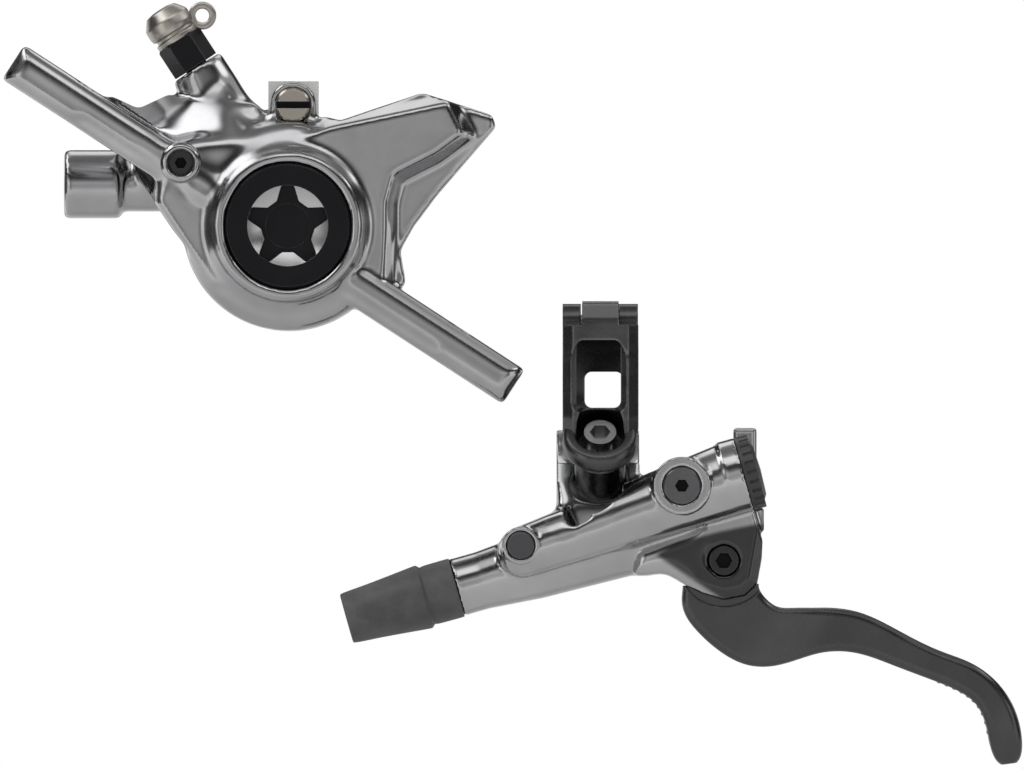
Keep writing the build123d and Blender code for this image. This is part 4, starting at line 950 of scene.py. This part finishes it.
class DressCaliperPieces(BrakeOperator, bpy.types.Operator):
    """Finishes of the cap, pads, pistons and screws of the caliper"""

    bl_idname = "brake.dress_caliper_pieces"
    bl_label = "Dress Caliper Pieces"

    def execute(self, context):
        finish = context.scene.brake_finish
        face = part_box("bore_cap")[0][1]
        lens = CALIPER_CENTRE, 6.95 * MM, face + 0.06 * MM, face + 1.95 * MM, (0.5, 0.5, 0.5)
        rings = CALIPER_CENTRE, 0.14 * MM
        cap = alloy("bore_cap_black", finish.black_alloy, 0.3, edge=0.1 * MM, rings=rings, bare_and_shade_patch=lens)
        paint_nodes(["bore_cap"], cap)
        paint_nodes(["bleed_nipple"], alloy("nipple_black", finish.black_alloy, 0.3, edge=0.2 * MM))
        bronze = alloy("nipple_cap_bronze", (0.42, 0.395, 0.36), 0.33, soft_edge=False, grain=0.3)
        cover = mesh_piece("nipple_dust_cap", *nipple_dust_cap(), bronze, "nipple", "bronze_cap")
        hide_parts("nipple_cap")
        # Painted shade in the axle's slot
        slot = sunk("pad_axle", 2.8 * MM, 0.3 * MM)
        paint_nodes(["pad_axle"], alloy("pad_axle_steel", finish.warm_steel, 0.26, edge=0.2 * MM, bare_and_shade_patch=slot))
        plate = alloy("plate_steel", (0.8, 0.8, 0.79), 0.3, edge=0.12 * MM, grain=0.1)
        paint_nodes(["pad_plate_near", "pad_plate_far", "pad_spring", "pad_axle_clip"], plate)
        paint_nodes(["pad_lining_near", "pad_lining_far"], sintered("friction_block"))
        paint_nodes(["piston_near", "piston_far"], moulded("piston_ceramic", (0.55, 0.53, 0.47), 0.3, 0.1))
        seal = rubber("seal_rubber", SEAL_BLACK)
        paint_nodes(["piston_seal_near", "piston_seal_far", "bore_cap_seal"], seal)
        # Painted shade in the grub screw's key socket
        socket = sunk("port_grub_screw", 1.5 * MM)
        grub = alloy("grub_steel", (0.06, 0.06, 0.062), 0.36, edge=0.12 * MM, bare_and_shade_patch=socket)
        paint_nodes(["port_grub_screw"], grub)
        return {"FINISHED"}


def nipple_dust_cap():
    """The cap turned from a closed profile, a strap along a short line, and a ring swept round a circle."""
    corners = [
        (2.6, 5.45),
        (3.7, 5.45),
        (3.78, 6.3),
        (3.35, 6.5),
        (3.35, 6.95),
        (3.85, 7.15),
        (4.02, 7.9),
        (4.0, 9.4),
        (2.75, 11.1),
        (1.4, 11.4),
        (0.001, 11.45),
        (0.001, 10.9),
        (2.5, 10.5),
    ]
    cap = turned_surface(eased(corners, 4, 0.16) * MM, NIPPLE_TOP, NIPPLE_LINE, 96)
    line, side, depth = np.array(NIPPLE_LINE), np.array(NIPPLE_SIDE), np.array([0.0, 1.0, 0.0])
    middle = np.array(NIPPLE_TOP) + MM * (6.75 * line + 5.5 * side)
    angle = np.linspace(0.0, 2 * pi, 48, endpoint=False)[:, None]
    radial = np.cos(angle) * side + np.sin(angle) * line
    ring = swept(middle + 1.74 * MM * radial, radial, np.tile(depth, (48, 1)), 0.6 * MM, 0.45 * MM, wrap=True)
    t = np.linspace(0.0, 1.0, 12)[:, None]
    start = np.array(NIPPLE_TOP) + MM * (6.0 * line + 2.9 * side)
    strap_line = start + t * (middle - 1.5 * MM * side - start)
    square = np.tile(np.cross(depth, side), (12, 1))
    wide = MM * (1.0 - 0.35 * np.sin(pi * t[:, 0]))
    strap = swept(strap_line, square, np.tile(depth, (12, 1)), wide, 0.42 * MM)
    return joined(cap, ring, strap)


class BuildStudio(BrakeOperator, bpy.types.Operator):
    """Camera, lamps, floor, reflector dome and white world"""

    bl_idname = "brake.build_studio"
    bl_label = "Build Studio"

    def execute(self, context):
        studio = context.scene.brake_studio
        make_camera(context.scene, studio)
        make_lamps(context.scene, studio)
        make_floor(studio)
        make_reflector(studio)
        make_world(context.scene)
        context.scene.view_settings.view_transform = "Standard"
        return {"FINISHED"}


def make_camera(scene, studio):
    """A long lens looking along +Y at the photograph's frame centre."""
    lens = bpy.data.cameras.new("photo_camera")
    lens.sensor_width = 36.0
    lens.lens = studio.lens
    lens.clip_start = 0.05
    lens.clip_end = 30.0
    distance = studio.frame_width / 2 / (lens.sensor_width / 2 / lens.lens)
    camera = bpy.data.objects.new("photo_camera", lens)
    camera.location = (studio.frame_x, studio.focus_y - distance, studio.frame_z)
    camera.rotation_euler = (radians(90), 0, 0)
    scene.collection.objects.link(camera)
    scene.camera = camera


def softbox(scene, name, place, target, size, power):
    """A rectangular lamp turned towards a target."""
    lamp = bpy.data.lights.new(name, "AREA")
    lamp.shape = "RECTANGLE"
    lamp.size, lamp.size_y = size
    lamp.energy = power
    box = bpy.data.objects.new(name, lamp)
    box.location = place
    box.rotation_euler = (Vector(target) - Vector(place)).to_track_quat("-Z", "Y").to_euler()
    scene.collection.objects.link(box)


def make_lamps(scene, studio):
    """A softbox above and in front, one to the left, and a low fill."""
    middle = (studio.frame_x, 0.0, studio.frame_z)
    softbox(scene, "upper_softbox", (0.0, -0.45, 0.75), middle, (0.8, 0.25), studio.key_power)
    softbox(scene, "left_softbox", (-0.75, -0.5, 0.2), middle, (0.2, 0.6), studio.key_power * 0.5)
    softbox(scene, "low_fill", (0.35, -0.7, -0.4), middle, (0.6, 0.2), studio.fill_power)


def make_floor(studio, rings=23, turns=96):
    """A round pale floor: (r cos v, r sin v), with white light taking over towards its rim."""
    radius = np.linspace(0.0, studio.dome_radius, rings + 1)[1:, None]
    angle = np.linspace(0.0, 2 * pi, turns, endpoint=False)[None, :]
    x = studio.frame_x + radius * np.cos(angle)
    points = np.stack([x, radius * np.sin(angle), np.full_like(x, studio.floor_z)], axis=-1).reshape(-1, 3)
    points = np.vstack([points, [[studio.frame_x, 0.0, studio.floor_z]]])
    material, tree, shader, place = new_material("floor_paper")
    shader.inputs["Base Color"].default_value = (0.88, 0.88, 0.88, 1.0)
    shader.inputs["Roughness"].default_value = 0.9
    length = add(tree, "ShaderNodeVectorMath", operation="LENGTH")
    tree.links.new(place, length.inputs[0])
    fade = ramp(tree, length.outputs["Value"], 0.0, 1.0, 0.16, 0.36)
    white = tree.nodes.new("ShaderNodeEmission")
    blend = tree.nodes.new("ShaderNodeMixShader")
    tree.links.new(fade, blend.inputs["Fac"])
    tree.links.new(shader.outputs["BSDF"], blend.inputs[1])
    tree.links.new(white.outputs["Emission"], blend.inputs[2])
    tree.links.new(blend.outputs["Shader"], tree.nodes["Material Output"].inputs["Surface"])
    smooth_piece("studio_floor", points, disc_faces(rings, turns), material)


def make_reflector(studio, rows=48, columns=96):
    """A dome of cards all round, seen only in reflections: R * (cos e cos a, cos e sin a, sin e)."""
    angle = np.linspace(radians(-180), radians(180), columns)[None, :]
    rise = np.linspace(radians(-80), radians(86), rows)[:, None]
    radius = studio.dome_radius
    x = studio.frame_x + radius * np.cos(rise) * np.cos(angle)
    y = radius * np.cos(rise) * np.sin(angle)
    points = np.stack([x, y, radius * np.sin(rise) + 0 * angle], axis=-1).reshape(-1, 3)
    material, tree, shader, place = new_material("reflector_paper")
    split = tree.nodes.new("ShaderNodeSeparateXYZ")
    tree.links.new(place, split.inputs["Vector"])
    light = tree.nodes.new("ShaderNodeEmission")
    tree.links.new(card_levels(tree, split.outputs["Z"], radius, UPRIGHT_CARDS), light.inputs["Color"])
    tree.links.new(card_levels(tree, split.outputs["X"], radius, SIDEWAYS_CARDS), light.inputs["Strength"])
    tree.links.new(light.outputs["Emission"], tree.nodes["Material Output"].inputs["Surface"])
    wall = smooth_piece("studio_reflector", points, grid_faces(rows, columns), material)
    for ray in ("camera", "diffuse", "shadow", "transmission"):
        setattr(wall, "visible_" + ray, False)


def card_levels(tree, value, radius, cards):
    """Brightness of the dome's cards along one direction, from (place / radius, level) pairs."""
    shade = tree.nodes.new("ShaderNodeValToRGB")
    shade.color_ramp.interpolation = "EASE"
    tree.links.new(ramp(tree, value, 0.0, 1.0, -radius, radius), shade.inputs["Fac"])
    band = shade.color_ramp
    while len(band.elements) < len(cards):
        band.elements.new(0.5)
    for element, (at, level) in zip(band.elements, cards):
        element.position = (at + 1.0) / 2.0
        element.color = (level, level, level, 1.0)
    return shade.outputs["Color"]


def make_world(scene):
    """White where the camera and reflections look past everything, a softer white for the light."""
    world = bpy.data.worlds.new("white_world")
    world.use_nodes = True
    scene.world = world
    tree = world.node_tree
    back = tree.nodes["Background"]
    path = tree.nodes.new("ShaderNodeLightPath")
    seen = math_node(tree, "MAXIMUM", path.outputs["Is Camera Ray"], path.outputs["Is Glossy Ray"])
    seen = math_node(tree, "MAXIMUM", seen, path.outputs["Is Transmission Ray"])
    tree.links.new(ramp(tree, seen, 0.55, 1.0), back.inputs["Strength"])
    back.inputs["Color"].default_value = (1.0, 1.0, 1.0, 1.0)


class BrakePanel(bpy.types.Panel):
    """Lists the steps of the dresser with their settings."""

    bl_label = "Disc Brake"
    bl_idname = "VIEW3D_PT_disc_brake"
    bl_space_type = "VIEW_3D"
    bl_region_type = "UI"
    bl_category = "Disc Brake"

    def draw(self, context):
        layout = self.layout
        for group in SETTINGS:
            settings = getattr(context.scene, group)
            box = layout.box()
            for name in settings.__annotations__:
                box.prop(settings, name)
        for step in STEPS:
            layout.operator(step.bl_idname)


STEPS = (
    DressCaliper,
    DressLeverBody,
    DressClamp,
    DressBlade,
    DressReservoir,
    DressCylinder,
    DressCaliperPieces,
    BuildStudio,
)
SETTINGS = {
    "brake_finish": BrakeFinishSettings,
    "brake_skin": BrakeSkinSettings,
    "brake_studio": BrakeStudioSettings,
}


def register():
    for group, settings in SETTINGS.items():
        bpy.utils.register_class(settings)
        setattr(bpy.types.Scene, group, PointerProperty(type=settings))
    for shown in (*STEPS, BrakePanel):
        bpy.utils.register_class(shown)


def unregister():
    for shown in (BrakePanel, *reversed(STEPS)):
        bpy.utils.unregister_class(shown)
    for group, settings in SETTINGS.items():
        delattr(bpy.types.Scene, group)
        bpy.utils.unregister_class(settings)


def main():
    register()
    for step in STEPS:
        group, name = step.bl_idname.split(".")
        getattr(getattr(bpy.ops, group), name)()


if __name__ == "__main__":
    main()
